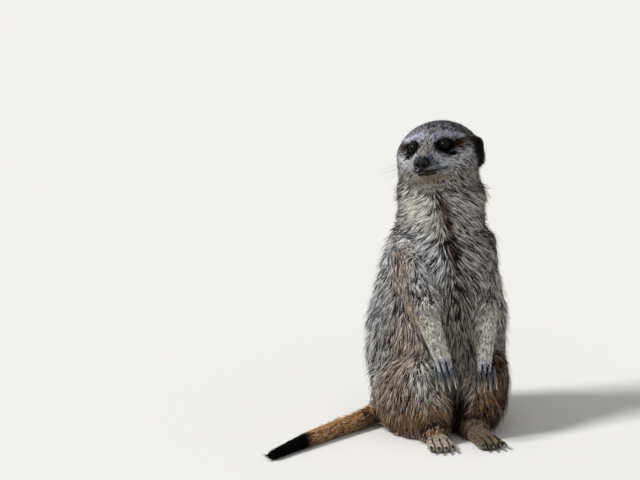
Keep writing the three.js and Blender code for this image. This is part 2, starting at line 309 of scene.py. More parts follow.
def read(items, field, width, kind=np.float32):
    values = np.empty(len(items) * width, kind)
    items.foreach_get(field, values)
    return values.reshape(-1, width)


def surface_of(obj):
    """Places, normals and edges of the vertices of an object's mesh."""
    at, normals = (read(obj.data.vertices, field, 3).astype(float) for field in ("co", "normal"))
    return at, normals, read(obj.data.edges, "vertices", 2, np.int32)


def add_field(mesh, name, values):
    """Four numbers for each vertex, kept as a colour."""
    field = mesh.attributes.new(name, "FLOAT_COLOR", "POINT")
    field.data.foreach_set("color", values.astype(np.float32).ravel())


def bridge(bm, one, two):
    """Faces between two rings of vertices."""
    near = [(e, ring) for ring in (one, two) for v in ring for e in v.link_edges]
    loops = dict.fromkeys(e for e, ring in near if all(v in ring for v in e.verts))
    bmesh.ops.bridge_loops(bm, edges=list(loops))


def joined(nodes, change):
    """The meshes of the nodes as one, each of them welded and then changed."""
    whole = bmesh.new()
    for name in nodes:
        bm = bmesh.new()
        bm.from_mesh(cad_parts[name].data)
        bmesh.ops.remove_doubles(bm, verts=bm.verts, dist=WELD)
        bm.normal_update()
        change(bm)
        part = bpy.data.meshes.new(name)
        bm.to_mesh(part)
        bm.free()
        whole.from_mesh(part)
        bpy.data.meshes.remove(part)
    return whole


def grow(bm, by):
    for v in bm.verts:
        v.co += v.normal * by


def unit(vectors):
    return vectors / np.maximum(np.linalg.norm(vectors, axis=1, keepdims=True), TINY)


def step(low, high, values):
    """0 below low, 1 above high, smooth between."""
    t = np.clip((values - low) / (high - low), 0, 1)
    return t * t * (3 - 2 * t)


def spread(values, edges, rounds):
    """Values on a mesh's vertices, averaged with their neighbours' that many times."""
    a, b = edges[:, 0], edges[:, 1]
    count = len(values)
    ties = np.bincount(a, minlength=count) + np.bincount(b, minlength=count)
    columns = values.reshape(count, -1).astype(float)
    for _ in range(rounds):
        for k in range(columns.shape[1]):
            own = columns[:, k]
            near = np.bincount(a, own[b], count) + np.bincount(b, own[a], count)
            columns[:, k] = (own + near) / (ties + 1)
    return columns.reshape(values.shape)


def owners_of(places):
    """Index in FLESH of the node nearest to each place."""
    points, faces, owners = [], [], []
    for index, name in enumerate(FLESH):
        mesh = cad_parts[name].data
        base = len(points)
        points += [v.co.copy() for v in mesh.vertices]
        faces += [[base + i for i in p.vertices] for p in mesh.polygons]
        owners += [index] * len(mesh.polygons)
    tree = BVHTree.FromPolygons(points, faces)
    return np.array([owners[tree.find_nearest(Vector(p))[2]] for p in places])


# ---- the coat: its sizes, its lie, its markings and its painted shade ----
# Depth over the skin, length and width of a tuft, in mm; tufts in a square mm; how far tufts stray,
# in degrees; and the kind of hair
COAT = {
    "head": (2.2, 4.4, 0.68, 4.6, 12, "crown"),
    "lower_jaw": (1.2, 2.8, 0.42, 6.0, 12, "chin"),
    "ear": (0.8, 3.8, 0.5, 4.5, 18, "black"),
    "neck": (4.4, 11.5, 0.58, 3.2, 8, "cheek"),
    "trunk": (6.2, 17.5, 0.66, 2.3, 8, "grizzled"),
    "upper_arm": (4.4, 13.5, 0.66, 2.4, 8, "grizzled"),
    "forearm": (2.2, 6.0, 0.47, 3.8, 7, "cream"),
    "forepaw": (0.5, 3.4, 0.3, 6.2, 5, "digit"),
    "haunch": (5.4, 15.5, 0.66, 2.4, 9, "dun"),
    "hind_foot": (0.6, 3.4, 0.31, 6.0, 5, "tan"),
    "tail_root": (3.4, 10.0, 0.65, 2.6, 5, "ginger"),
    "tail_middle": (2.8, 9.5, 0.62, 2.8, 5, "ginger"),
    "tail_tip": (2.2, 8.0, 0.6, 3.0, 5, "black"),
}

# Markings and painted shade in the order that they are laid on: (kind, line, radius, softness), in mm.
# Those of the head are in its frame, and are laid on both sides.
HEAD_MARKINGS = [
    ("grizzled", [(0, 40, -16), (0, 48, -44)], 22, 14),
    ("cheek", [(16, 4, -27), (28, 16, -27)], 12, 5),
    ("cheek", [(0, 4, -38), (0, 30, -38)], 10, 5),
    ("bridge", [(0, 1, 8), (0, -17, -4)], 5.5, 2.4),
    ("muzzle", [(7, -20, -10), (10.5, -14.5, -14)], 4.6, 1.6),
    ("white", [(8, -11, -3.5), (9.4, -12, -5.5)], 2.0, 1.2),
    ("brow", [(4, -1, 8.8), (9, 2.6, 10.8), (15.3, 5, 10.6), (21.6, 7.2, 8.4), (27, 10.4, 6.9)], 2.9, 1.6),
    ("white", [(8.5, -13, -8), (15.8, -6, -13.6), (22.3, 0, -12.3), (28, 4, -10.5), (32, 9, -8)], 3.4, 1.6),
    ("white", [(14, -8, -16), (20, -1, -16), (30, 8, -12)], 3.2, 3),
    ("umber", [(32, 12, 4), (35, 18, 3)], 3.6, 2),
    ("russet", [(24.4, 4, -0.8), (27, 7.2, 1.4)], 3.0, 1.5),
    ("black", [(12, -4, 0), (17, -0.8, 0.3)], 6.3, 0.9),
    ("black", [(15, -4, -4.6), (19.5, -1.8, -7.3), (22.8, 0.7, -6.9)], 1.9, 1.1),
    ("black", [(20, 1.5, 0.8), (23.4, 4, 1.8)], 2.6, 1.2),
    # Painted shade: a thin dark line from the inner corner of the eye down beside the bridge
    ("black", [(9.4, -7, -1), (7.6, -11, -4)], 1.3, 0.9),
    ("black", [(35.5, 18, 0), (36.5, 15.5, -9), (36.5, 19, -19)], 3.2, 1.3),
    ("black", [(38, 21, 1), (39, 21, -9), (39, 23, -20)], 6.5, 2.5),
    ("chin", [(0, -14, -27.5), (6, -6, -30.2), (12, -2, -29)], 3.4, 2.6),
    ("black", [(2, -22.5, -6), (6.4, -21.5, -13)], 1.6, 0.9),
    ("black", [(0, -25, -19), (6.2, -20.5, -20), (13.8, -7, -19.4), (16, -4.5, -18.5)], 1.2, 0.8),
    ("lip", [(0, -23, -22.4), (4, -20.6, -22.8), (8.5, -14.6, -22.3)], 1.5, 0.8),
]
MIDLINE = [(-15, -25, 232), (-12.5, -28, 216.5), (-7.7, -30, 194.5), (-3.4, -33, 172.8), (-2, -36, 154)]
BODY_MARKINGS = [
    ("silver", [(-57, 16, 150), (-60, 16, 60)], 24, 12),
    ("cream", [(-30, -10, 226), (-28, -16, 205), (-26, -20, 188)], 15, 6),
    ("frost", [(-24, -20, 226), (-20, -26, 200)], 9, 5),
    ("silver", [(4, -32, 222), (8, -33, 190)], 9, 6),
    ("silver", [(-34, -16, 172), (-22, -34, 146)], 15, 8),
    # The animal's left neck and flank, away from the key lamp: umber, partly the side's own brown coat and
    # partly painted shade
    ("umber", [(34, -10, 226), (40, -9, 196), (47, -3, 165)], 17, 9),
    ("umber", [(54, 4, 160), (63, 6, 120), (63, 4, 70)], 13, 14),
    ("umber", [(-26, 26, 222), (-34, 20, 196)], 10, 6),
    ("fawn", [(-46, -16, 160), (-48, -18, 136)], 10, 8),
    ("fawn", [(-49, -26, 92), (-48, -30, 62)], 12, 8),
    # Along the parting of throat and chest: umber hair, and a thin line of painted shade in the parting's
    # groove
    ("umber", MIDLINE, 4, 3.5),
    ("shade", MIDLINE, 1.6, 2),
    ("white", [(2, -42, 142), (8, -42, 138)], 4.5, 3.5),
    ("belly", [(0, -44, 128), (-1, -45, 104), (-2, -42, 62), (-2, -38, 36)], 15, 6),
    ("straw", [(-42, -30, 120), (-38, -38, 106)], 8.5, 4),
    ("fawn", [(42, -26, 120), (40, -32, 106)], 6.5, 4),
    ("fawn", [(-39, -34, 84), (-30, -38, 80)], 8, 5),
    ("pink", [(-38, -38, 75), (-27, -42, 73)], 3.8, 2.0),
    ("fawn", [(24, -50, 60), (20, -50, 46)], 7, 5),
    ("frost", [(-38, -48, 66), (-34, -54, 46), (-29, -56, 38)], 11, 8),
    ("rust", [(-46, -44, 18), (-26, -54, 21)], 14, 11),
    ("rust", [(-50, -34, 12), (-54, 10, 8)], 12, 12),
    ("rust", [(-28, -50, 12), (-12, -54, 16)], 10, 6),
    # Darker rust on the animal's left haunch: its rust coat, with painted shade on the side away from the
    # key lamp
    ("bark", [(42, -40, 34), (46, 0, 20)], 19, 15),
    ("bark", [(34, -46, 62), (48, -26, 56)], 10, 10),
    ("rust", [(10, -54, 24), (28, -54, 38)], 10, 10),
    # Darker rust low on the animal's left haunch: painted shade over its rust coat
    ("bark", [(12, -52, 14), (30, -44, 10)], 13, 6),
    # Painted shade between the legs
    ("shade", [(-4, -44, 34), (4, -42, 14)], 10, 5),
    # Darker tan on the animal's left hind foot: painted shade on the foot away from the key lamp
    ("loam", [(9, -32, 8), (13, -86, 6)], 13, 3),
    # Painted shade on the inner heel of the animal's left hind foot, between the legs
    ("shade", [(0, -30, 16), (3, -36, 11)], 9, 4),
    # Painted shadow where the haunches' coat meets the hind feet, at both ankles
    ("shade", [(-36, -50, 10), (-29, -53, 17.5), (-23, -55, 17.5), (-17, -56, 13)], 5, 2.5),
    ("shade", [(4, -45, 16), (11.7, -54, 18), (24.5, -56, 10)], 3.4, 2.5),
    ("umber", [(-30, 64, 30), (30, 64, 30)], 22, 12),
]
HEAD_FROM = (200, 212)  # the markings of the head come in between these heights, in mm
# Dark bands across the back: the gap from one to the next, where they come in from the front, from
# below and from above, in mm; how they sweep, droop and waver away from the spine; and how dark they are
BANDS = {
    "gap": 15.5, "front": (8, 26), "below": (52, 72), "above": (176, 158),
    "sweep": 0.16, "droop": 0.12, "waver": (2.2, 0.16), "edge": (0.25, 0.75), "dark": 0.85,
}
TAIL_BLACK = {"from": (-123, -133), "under": (30, 20)}  # limits of the black tip along X and Z, in mm

# Painted shade in the gaps between the digits: radius and softness in mm, and how far up the paw it reaches
PAW_GAP_SHADE = {"fore": (0.95, 0.6, 0.72), "hind": (0.7, 0.9, 0.42)}
PAW_SHADE_DEPTH = (10, 8)  # the gaps fade on what is between these distances from them, in mm


def paw_gap_shade():
    """Lines of painted shade between the digits, each with the way that the paw's back faces."""
    gaps = []
    for side in SIDES:
        for digit, paw, up in (("fore", "forepaw", "forearm"), ("hind", "hind_foot", "hind_foot")):
            radius, soft, reach = PAW_GAP_SHADE[digit]
            claws = [centre(name) for name in claws_of(digit, side)]
            middle = mean_centre(claws_of(digit, side))
            back = (centre(f"{paw}_{side}") + centre(f"{up}_{side}")) / 2 - middle
            facing = np.array((claws[-1] - claws[0]).cross(back).normalized())
            for one, two in zip(claws, claws[1:]):
                low = (one + two) / 2
                gaps.append(([tuple(p / MM) for p in (low, low + back * reach)], radius, soft, facing))
    return gaps


def off_line(points, line):
    """Distance of each point from a line through the given places."""
    best = np.full(len(points), np.inf)
    places = [np.array(p, float) for p in line]
    for a, b in zip(places, places[1:]):
        along = np.clip((points - a) @ (b - a) / max((b - a) @ (b - a), TINY), 0, 1)
        best = np.minimum(best, np.linalg.norm(points - a - along[:, None] * (b - a), axis=1))
    return best


def hair_of(kind):
    hair = bpy.context.scene.meerkat_hair
    _, _, share, ticking = HAIR[kind]
    return np.array([*getattr(hair, kind + "_pale"), share, *getattr(hair, kind + "_dark"), ticking])


def with_markings_and_shade(points, hairs, ragged=0.0):
    """Hairs at the points, with the markings and the painted shade laid on; ragged is a share of their
    softness.
    """
    rng = np.random.default_rng(SEED)
    on_body, on_head = points / MM, in_head(points)
    stray = rng.normal(0, ragged, len(points))
    folded = np.column_stack([np.abs(on_head[:, 0]), on_head[:, 1:]])
    hairs = hairs.copy()

    def lay(kind, mask):
        hairs[:] = hairs + (hair_of(kind) - hairs) * mask[:, None]

    def laid_along(places, line, radius, soft, ragged_by=stray):
        return step(radius + soft, radius - soft, off_line(places, line) + ragged_by * soft)

    x, y, z = on_body.T
    aside = np.abs(x)
    behind = step(*BANDS["front"], y - BANDS["sweep"] * aside)
    behind = behind * step(*BANDS["below"], z) * step(*BANDS["above"], z)
    far, often = BANDS["waver"]
    phase = z + BANDS["droop"] * aside + far * np.sin(x * often)
    wave = np.sin(phase * 2 * math.pi / BANDS["gap"])
    lay("umber", behind * step(*BANDS["edge"], wave) * BANDS["dark"])
    for kind, *marking in BODY_MARKINGS:
        lay(kind, laid_along(on_body, *marking))
    # Painted shade: black in the gaps between the digits
    for line, radius, soft, facing in paw_gap_shade():
        seen, *level = (p - (p @ facing)[..., None] * facing for p in (on_body, *np.array(line)))
        lay("black", step(*PAW_SHADE_DEPTH, off_line(on_body, line)) * laid_along(seen, level, radius, soft, 0))
    near_head = step(*HEAD_FROM, z)
    for kind, *marking in HEAD_MARKINGS:
        lay(kind, laid_along(folded, *marking) * near_head)
    lay("black", step(*TAIL_BLACK["from"], x) * step(*TAIL_BLACK["under"], z))
    return hairs


# Turn of the neck and chest from the front, in degrees, against height, in mm
FACING = [(110, 0), (124, -3), (150, -7), (172, -13), (194, -22), (216, -34), (238, -42)]
# How strongly the coat sweeps out from the parting of throat and chest, against height, in mm
SWEEP = [(70, 0.0), (110, 0.12), (140, 0.35), (165, 0.7), (195, 1.1), (230, 1.3)]
PARTING = 0.06  # half width of the parting, in radians about the body
SWEEP_ENDS = (165, 60)  # the sweep fades out between these turns from the parting, in degrees
TRUNK_AXIS_Y = 3  # how far the middle of the trunk and neck lies behind the origin, in mm
KNEE = (37, -34, 92)  # the left haunch's coat fans out from here, in mm
FAN = 0.6  # how strongly it fans
# The head's coat lies backwards. It turns down below, over the first heights in its frame, and more so
# at the back, over the second places; above, it turns outwards by a share within some mm of the middle
HEAD_LIE = {"below": (-2, -18), "back": (10, 34), "down": (0.5, 0.7), "out": (0.3, 8)}
EAR_LIE = (0.5, 0.8, 0.25)  # outwards, backwards and up in the head's frame
# The lie of the coat at the root of the tail and round its turn, and the places of the turn along X, in mm
TAIL_LIE = ((-0.6, 0.7, -0.1), (-0.72, -0.6, -0.05), (4, -26))
LIMB_LIE = {"upper_arm": ("upper_arm", "forearm"), "forearm": ("forearm", "forepaw")}
LIMB_LIE["forepaw"] = LIMB_LIE["forearm"]  # a limb's coat lies from the first part to the second


def against(table, values):
    return np.interp(values, *zip(*table))


def down_the_body(points):
    """Lie of the coat on trunk and neck: down, and out from the parting in front."""
    x, y, z = (points / MM).T
    turn = np.radians(against(FACING, z))
    ahead = np.stack([np.sin(turn), -np.cos(turn)], 1)
    left = np.stack([np.cos(turn), np.sin(turn)], 1)
    flat = np.stack([x, y - TRUNK_AXIS_Y], 1)
    a = np.arctan2((flat * left).sum(1), (flat * ahead).sum(1))
    side = np.tanh(a / PARTING)
    out = (left * np.cos(a)[:, None] - ahead * np.sin(a)[:, None]) * side[:, None]
    strength = against(SWEEP, z) * step(*map(math.radians, SWEEP_ENDS), np.abs(a))
    return unit(np.column_stack([out * strength[:, None], -np.ones(len(z))]))


def lie_on(part, side, points):
    """Direction in which the coat lies at points of one part of the body."""
    if part in ("neck", "trunk"):
        return down_the_body(points)
    if part in ("head", "lower_jaw", "ear"):
        x, y, z = in_head(points).T
        low, back = step(*HEAD_LIE["below"], z), step(*HEAD_LIE["back"], y)
        down, more = HEAD_LIE["down"]
        out, width = HEAD_LIE["out"]
        own = [out * np.tanh(x / width) * (1 - low), np.ones(len(x)), -down * low - more * back * low]
        if part == "ear":
            out, back, up = EAR_LIE
            own = [out * np.sign(x), np.full(len(x), back), np.full(len(x), up)]
        return unit(np.stack(own, 1) @ HEAD_TURN.T)
    if part == "haunch":
        x, y, z = KNEE
        away = points - np.array([SIDES[side] * x, y, z]) * MM
        return unit(unit(away) * FAN + np.array([0, 0, FAN - 1]))
    if part == "tail_root":
        first, second, turn = TAIL_LIE
        share = step(*turn, points[:, 0] / MM)[:, None]
        return unit(np.array(first) * (1 - share) + np.array(second) * share)
    if part.startswith("tail"):
        way = centre("tail_tip") - centre("tail_middle")
    elif part == "hind_foot":
        way = mean_centre(claws_of("hind", side)) - centre(f"hind_foot_{side}")
        way.z = 0
    else:
        start, end = LIMB_LIE[part]
        way = centre(f"{end}_{side}") - centre(f"{start}_{side}")
    return np.tile(np.array(way.normalized()), (len(points), 1))


# How often each of these is averaged over the skin with what is next to it
ROUNDS = {
    "shell": 2, "way_in": 5, "depth": 10, "skin": 3, "ears": 30, "ear_edge": 4,
    "sizes": 8, "lie": 8, "hairs": 6, "way_out": 4, "room": 4,
}
SHELL_GRAIN = 1.3  # grain of the shell that the skin is made from, as a share of the skin's own
MEETING = 0.6 * MM  # how far the flesh nodes are grown to meet
LEAST_ROOM, MOST_ROOM = 0.6, 2.6  # limits of the coat's depth in one place, as shares of its usual depth
SKIN_FLOOR = 0.2 * MM  # least height of the skin


class Skin:
    """The skin's vertices, faces and fields, kept for the coat that grows on it."""

    def __init__(self, obj, outside):
        mesh = obj.data
        mesh.calc_loop_triangles()
        self.at, self.normal, self.edges = surface_of(obj)
        self.faces = read(mesh.loop_triangles, "vertices", 3, np.int32)
        self.tree = BVHTree.FromPolygons(self.at.tolist(), self.faces.tolist())
        self.owner = owners_of(self.at)
        sizes = np.zeros((len(self.at), 5))
        lie = np.zeros((len(self.at), 3))
        hairs = np.zeros((len(self.at), 8))
        for index, node in enumerate(FLESH):
            mine = self.owner == index
            part = part_of(node)
            *numbers, kind = COAT[part]
            sizes[mine] = numbers
            lie[mine] = lie_on(part, node.rpartition("_")[2], self.at[mine])
            hairs[mine] = hair_of(kind)
        sizes[:, :4] *= face_shares(self.at)
        self.sizes = spread(sizes, self.edges, ROUNDS["sizes"])
        self.sizes[:, 0] = self.room(outside)
        self.lie = unit(spread(lie, self.edges, ROUNDS["lie"]))
        self.hairs = spread(hairs, self.edges, ROUNDS["hairs"])

    def room(self, outside):
        """How far the outside of the coat is from each vertex, in mm, near the coat's usual depth."""
        usual = self.sizes[:, 0]
        ways = unit(spread(self.normal, self.edges, ROUNDS["way_out"]))
        found = []
        for at, way, depth in zip(self.at, ways, usual):
            hit = outside.ray_cast(Vector(at), Vector(way), MOST_ROOM * depth * MM)[3]
            found.append(depth if hit is None else (hit - MEETING) / MM)
        return spread(np.clip(found, LEAST_ROOM * usual, MOST_ROOM * usual), self.edges, ROUNDS["room"])


# Where the coat of the head comes in, in mm: heights of the head, places of the muzzle and the cheek
# along Y in its frame, heights of the cheek in its frame, and distances from an eye
FACE = {"head": (205, 215), "muzzle": (2, -12), "cheek": (-2, 18), "jowl": (-8, -18), "eye": (13, 6.5)}
# What the muzzle, the cheek and the rim of an eye add to depth, length, width and number of the tufts
FACE_COAT = [(-0.7, -0.6, -0.3, 0.6), (0.6, 1.1, -0.05, -0.25), (-0.5, -0.55, -0.3, 0.4)]


def face_shares(points):
    """Shares of depth, length, width and number of tufts over the head: shortest on the muzzle."""
    on_head = in_head(points)
    _, y, z = on_head.T
    head = step(*FACE["head"], points[:, 2] / MM)
    cheek = step(*FACE["cheek"], y) * step(*FACE["jowl"], z) * head
    eyes = [middle_in_head("eye_" + side) for side in SIDES]
    to_eye = np.min([np.linalg.norm(on_head - eye, axis=1) for eye in eyes], axis=0)
    masks = (step(*FACE["muzzle"], y) * head, cheek, step(*FACE["eye"], to_eye))
    shares = np.ones((len(points), 4))
    for mask, added in zip(masks, FACE_COAT):
        shares *= 1 + mask[:, None] * added
    return shares


SKIN = {}  # the skin and its fields, for the steps that come after it


def remesh(obj, grain):
    modifier = obj.modifiers.new("remesh", "REMESH")
    modifier.mode, modifier.voxel_size = "VOXEL", grain
    apply_modifiers(obj)


def move_vertices(obj, at):
    obj.data.vertices.foreach_set("co", at.astype(np.float32).ravel())
    obj.data.update()


def build_skin():
    """One skin over all the flesh, as deep under the outside of the coat as the coat is there."""
    settings = bpy.context.scene.meerkat_finish
    skin = object_from("skin", joined(FLESH, lambda bm: grow(bm, MEETING)))
    remesh(skin, settings.skin_grain * SHELL_GRAIN)
    at, normals, edges = surface_of(skin)
    at = spread(at, edges, ROUNDS["shell"])
    normals = unit(spread(normals, edges, ROUNDS["way_in"]))
    outside = BVHTree.FromPolygons(at.tolist(), [tuple(p.vertices) for p in skin.data.polygons])
    depth = np.array([COAT[part_of(node)][0] for node in FLESH])[owners_of(at)]
    depth = spread(depth * face_shares(at)[:, 0], edges, ROUNDS["depth"])
    move_vertices(skin, at - normals * (depth * MM + MEETING)[:, None])
    remesh(skin, settings.skin_grain)
    at, _, edges = surface_of(skin)
    at = spread(at, edges, ROUNDS["skin"])
    ears = np.array([part_of(node) == "ear" for node in FLESH])[owners_of(at)]
    ears = spread(ears.astype(float), edges, ROUNDS["ear_edge"])
    at += (spread(at, edges, ROUNDS["ears"]) - at) * ears[:, None]
    at[:, 2] = np.maximum(at[:, 2], SKIN_FLOOR)
    move_vertices(skin, at)
    skin.data.shade_smooth()
    return skin, outside


# ---- tufts ----
# Regions of the coat: (parts of the body, pieces that it is split into, whether its tufts are bent,
# how many of them are drawn together in a lock, slot of its finish)
REGIONS = {
    "head": (("head", "lower_jaw", "ear"), 3, False, 4, "coat_grey"),
    "body": (("neck", "trunk", "upper_arm", "haunch"), 6, True, 4, "coat_grey"),
    "limbs": (("forearm", "forepaw", "hind_foot"), 2, True, 3, "coat_pale"),
    "tail": (("tail_root", "tail_middle", "tail_tip"), 1, True, 4, "coat_rust"),
}
# No tuft is rooted so near the middle of these, in mm
CLEAR = {"eye_left": 6.3, "eye_right": 6.3, "nose": 5.6}
ROOT_SINK = 0.3 * MM  # how far a tuft's root is sunk in the skin
ROOT_CLEAR, FLOOR_CLEAR = 1.0 * MM, 0.5 * MM  # least height of a tuft's root and of the rest of it
# The lie swirls in two waves: radians a metre along X, Y and Z, and the angle that each starts from
SWIRLS = [((210.0, 130.0, 180.0), 0.0), ((-120.0, 230.0, 290.0), 1.3)]
SWIRL = 0.45  # how far the waves turn a tuft, as a share of its stray
ALIKE = 0.88  # share of the tufts of a lock that have its tone
SHOWN = 0.65  # share of a tuft's length at which most of it shows
RAGGED = 0.45  # how ragged the edges of the markings are
STRAY = (0.06, 1.6, 0.7)  # share of the tufts that stand off the coat, their height and their width
PALE_STRAYS = 0.6  # share of pale ones among them
DARK_HAIR = (1.15, 0.95, 0.97)  # width, length and height of a dark tuft, as shares of a usual one
PALE_HAIR = (0.85, 1.05, 1.0)  # and of a pale one
LENGTHS, HEIGHTS, WIDTHS = (0.75, 1.2), (0.8, 1.3), (0.8, 1.2)  # least and most shares that chance gives
STEEPEST = 0.75  # most height of a tuft, as a share of its length
MIDDLE = (0.5, 0.7)  # the middle's shares of a tuft's length and height
PULL = 0.5  # how far the tips of a lock are drawn together
PULL_MIDDLE = 0.4  # how far the middles are, as a share of that
PULL_REACH = 0.5  # they are if they lie nearer to the lock's leader than this share of their length
PULLED = (2.5, 7.0)  # tufts shorter than this aren't, and those longer than that fully are, in mm
# Share of its height that each place has over the skin, and how far off the skin can lie for that, in
# shares of the height and of the length
SETTLED = {"middle": (0.72, 1.6, 0.12), "tip": (1.0, 1.5, 0.3)}
LAST_TICK = 1e-6  # share of a tuft by which the last one stays inside the last face
PATCH = 0.003  # edge of the piece of the coat's map that each tuft has
MAP_SHARE = 0.1  # share of the skin's faces that the map is made from
MAP_ANGLE = 60  # the map's islands take in faces up to this angle, in degrees


def roots_on(skin, parts, fill, rng):
    """Faces of the skin, and places in them, for the roots of the tufts of these parts.

    A face is a part's if two of its corners are.
    """
    wanted = np.array([part_of(node) in parts for node in FLESH])[skin.owner]
    faces = skin.faces[wanted[skin.faces].sum(1) >= 2]
    a, b, c = (skin.at[faces[:, k]] for k in range(3))
    area = np.linalg.norm(np.cross(b - a, c - a), axis=1) / 2 / MM**2
    count = np.cumsum(area * skin.sizes[faces, 3].mean(1) * fill)
    ticks = np.arange(int(count[-1])) + rng.uniform(0, 1, int(count[-1]))
    faces = faces[np.searchsorted(count, np.minimum(ticks, count[-1] - LAST_TICK))]
    u, v = rng.uniform(0, 1, (2, len(faces)))
    over = u + v > 1
    u[over], v[over] = 1 - u[over], 1 - v[over]
    return faces, np.stack([1 - u - v, u, v], 1)


def sampled(field, faces, shares):
    return np.einsum("nk,nkd->nd", shares, field[faces])


def onto_skin(skin, points, height, reach):
    """Points brought to their height over the skin, where the skin is within reach."""
    moved = points.copy()
    for i, p in enumerate(points):
        place, normal, _, gap = skin.tree.find_nearest(Vector(p))
        if gap < reach[i]:
            moved[i] = place + normal * height[i]
    return moved


def lock_leaders(root, lock, rng):
    """The leader of each tuft's lock: the nearest of those that chance picks."""
    lead = rng.choice(len(root), max(len(root) // lock, 1), replace=False)
    leads = KDTree(len(lead))
    for k, i in enumerate(lead):
        leads.insert(root[i], k)
    leads.balance()
    return lead[[leads.find(p)[1] for p in root]]


def tufts(skin, parts, lock, rng):
    """Roots, bends, tips and the other facts of the tufts of some parts, as arrays."""
    settings = bpy.context.scene.meerkat_finish
    faces, shares = roots_on(skin, parts, settings.coat_fill, rng)
    root = sampled(skin.at, faces, shares)
    on_head = in_head(root)
    grows = root[:, 2] >= ROOT_CLEAR
    for bare, clear in CLEAR.items():
        grows &= np.linalg.norm(on_head - middle_in_head(bare), axis=1) >= clear
    faces, shares, root = faces[grows], shares[grows], root[grows]
    normal = unit(sampled(skin.normal, faces, shares))
    depth, length, width, _, stray = sampled(skin.sizes, faces, shares).T
    count = len(root)
    lie = sampled(skin.lie, faces, shares)
    lie = unit(lie - normal * (lie * normal).sum(1, keepdims=True))
    swirl = sum(np.sin(root @ np.array(waves) + start) for waves, start in SWIRLS)
    turn = np.radians(stray) * (rng.normal(0, 1, count) + SWIRL * swirl)
    lie = lie * np.cos(turn)[:, None] + np.cross(normal, lie) * np.sin(turn)[:, None]
    own = lock_leaders(root, lock, rng)
    chance = rng.uniform(0, 1, (count, 2))
    alike = rng.uniform(0, 1, count) < ALIKE
    chance[alike] = chance[own[alike]]
    shown = root + lie * (length * SHOWN * MM)[:, None] + normal * (depth * MM)[:, None]
    hairs = with_markings_and_shade(shown, sampled(skin.hairs, faces, shares), RAGGED)
    share, rise, thin = STRAY
    off = rng.uniform(0, 1, count) < share
    chance[off, 0] = rng.uniform(0, 1, off.sum()) < PALE_STRAYS
    wide, long, high = np.where(chance[:, :1] < hairs[:, 3:4], DARK_HAIR, PALE_HAIR).T
    high, wide = np.where(off, high * rise, high), np.where(off, wide * thin, wide)
    length = length * long * rng.uniform(*LENGTHS, count) * MM * settings.coat_length
    height = np.minimum(depth * high * rng.uniform(*HEIGHTS, count) * MM, length * STEEPEST)
    along, up = MIDDLE
    middle = root + lie * length[:, None] * along + normal * height[:, None] * up
    tip = root + lie * length[:, None]
    near = np.linalg.norm(root - root[own], axis=1) < length * PULL_REACH
    pull = (PULL * step(*PULLED, length / MM) * near)[:, None]
    tip += (tip[own] - tip) * pull
    middle += (middle[own] - middle) * pull * PULL_MIDDLE
    rings = {"root": root - normal * ROOT_SINK}
    for ring, place in (("middle", middle), ("tip", tip)):
        share, by_height, by_length = SETTLED[ring]
        place = onto_skin(skin, place, height * share, height * by_height + length * by_length)
        place[:, 2] = np.maximum(place[:, 2], FLOOR_CLEAR)
        rings[ring] = place
    width = width * wide * rng.uniform(*WIDTHS, count) * MM
    facts = {"across": np.cross(lie, normal), "normal": normal, "width": width}
    return {**rings, **facts, "hairs": hairs, "chance": chance}


def skin_map(skin_object, parts, skin):
    """The parts' skin, plainer, unwrapped flat: its tree, and the map's corners of each face."""
    wanted = np.array([part_of(node) in parts for node in FLESH])[skin.owner]
    bm = bmesh.new()
    bm.from_mesh(skin_object.data)
    bm.verts.ensure_lookup_table()
    bmesh.ops.delete(bm, geom=[v for v in bm.verts if not wanted[v.index]], context="VERTS")
    flat = object_from("skin_map", bm)
    modifier = flat.modifiers.new("plainer", "DECIMATE")
    modifier.ratio = MAP_SHARE
    apply_modifiers(flat)
    for other in bpy.context.selected_objects:
        other.select_set(False)
    bpy.context.view_layer.objects.active = flat
    flat.select_set(True)
    flat.data.uv_layers.new(name="flat")
    bpy.ops.object.mode_set(mode="EDIT")
    bpy.ops.mesh.select_all(action="SELECT")
    bpy.ops.uv.smart_project(angle_limit=math.radians(MAP_ANGLE), island_margin=2 * PATCH)
    bpy.ops.object.mode_set(mode="OBJECT")
    mesh = flat.data
    mesh.calc_loop_triangles()
    corners = read(mesh.loop_triangles, "loops", 3, np.int32)
    faces = read(mesh.loop_triangles, "vertices", 3, np.int32)
    at = surface_of(flat)[0]
    places = read(mesh.uv_layers["flat"].data, "uv", 2).astype(float)[corners]
    tree = BVHTree.FromPolygons(at.tolist(), faces.tolist())
    bpy.data.objects.remove(flat)
    return tree, at[faces], places


def map_places(points, tree, triangles, places):
    """Where points lie on the unwrapped skin."""
    found = [tree.find_nearest(Vector(p)) for p in points]
    near = np.array([f[0] for f in found])
    face = np.array([f[2] for f in found])
    a, b, c = (triangles[face, k] for k in range(3))
    whole = np.cross(b - a, c - a)
    size = np.maximum((whole * whole).sum(1), TINY_SQUARE)
    v = (np.cross(near - a, c - a) * whole).sum(1) / size
    w = (np.cross(b - a, near - a) * whole).sum(1) / size
    shares = np.clip(np.stack([1 - v - w, v, w], 1), 0, 1)
    return np.einsum("nk,nkd->nd", shares / shares.sum(1, keepdims=True), places[face])


RIDGE = 0.45  # height of a tuft's ridge, as a share of its width
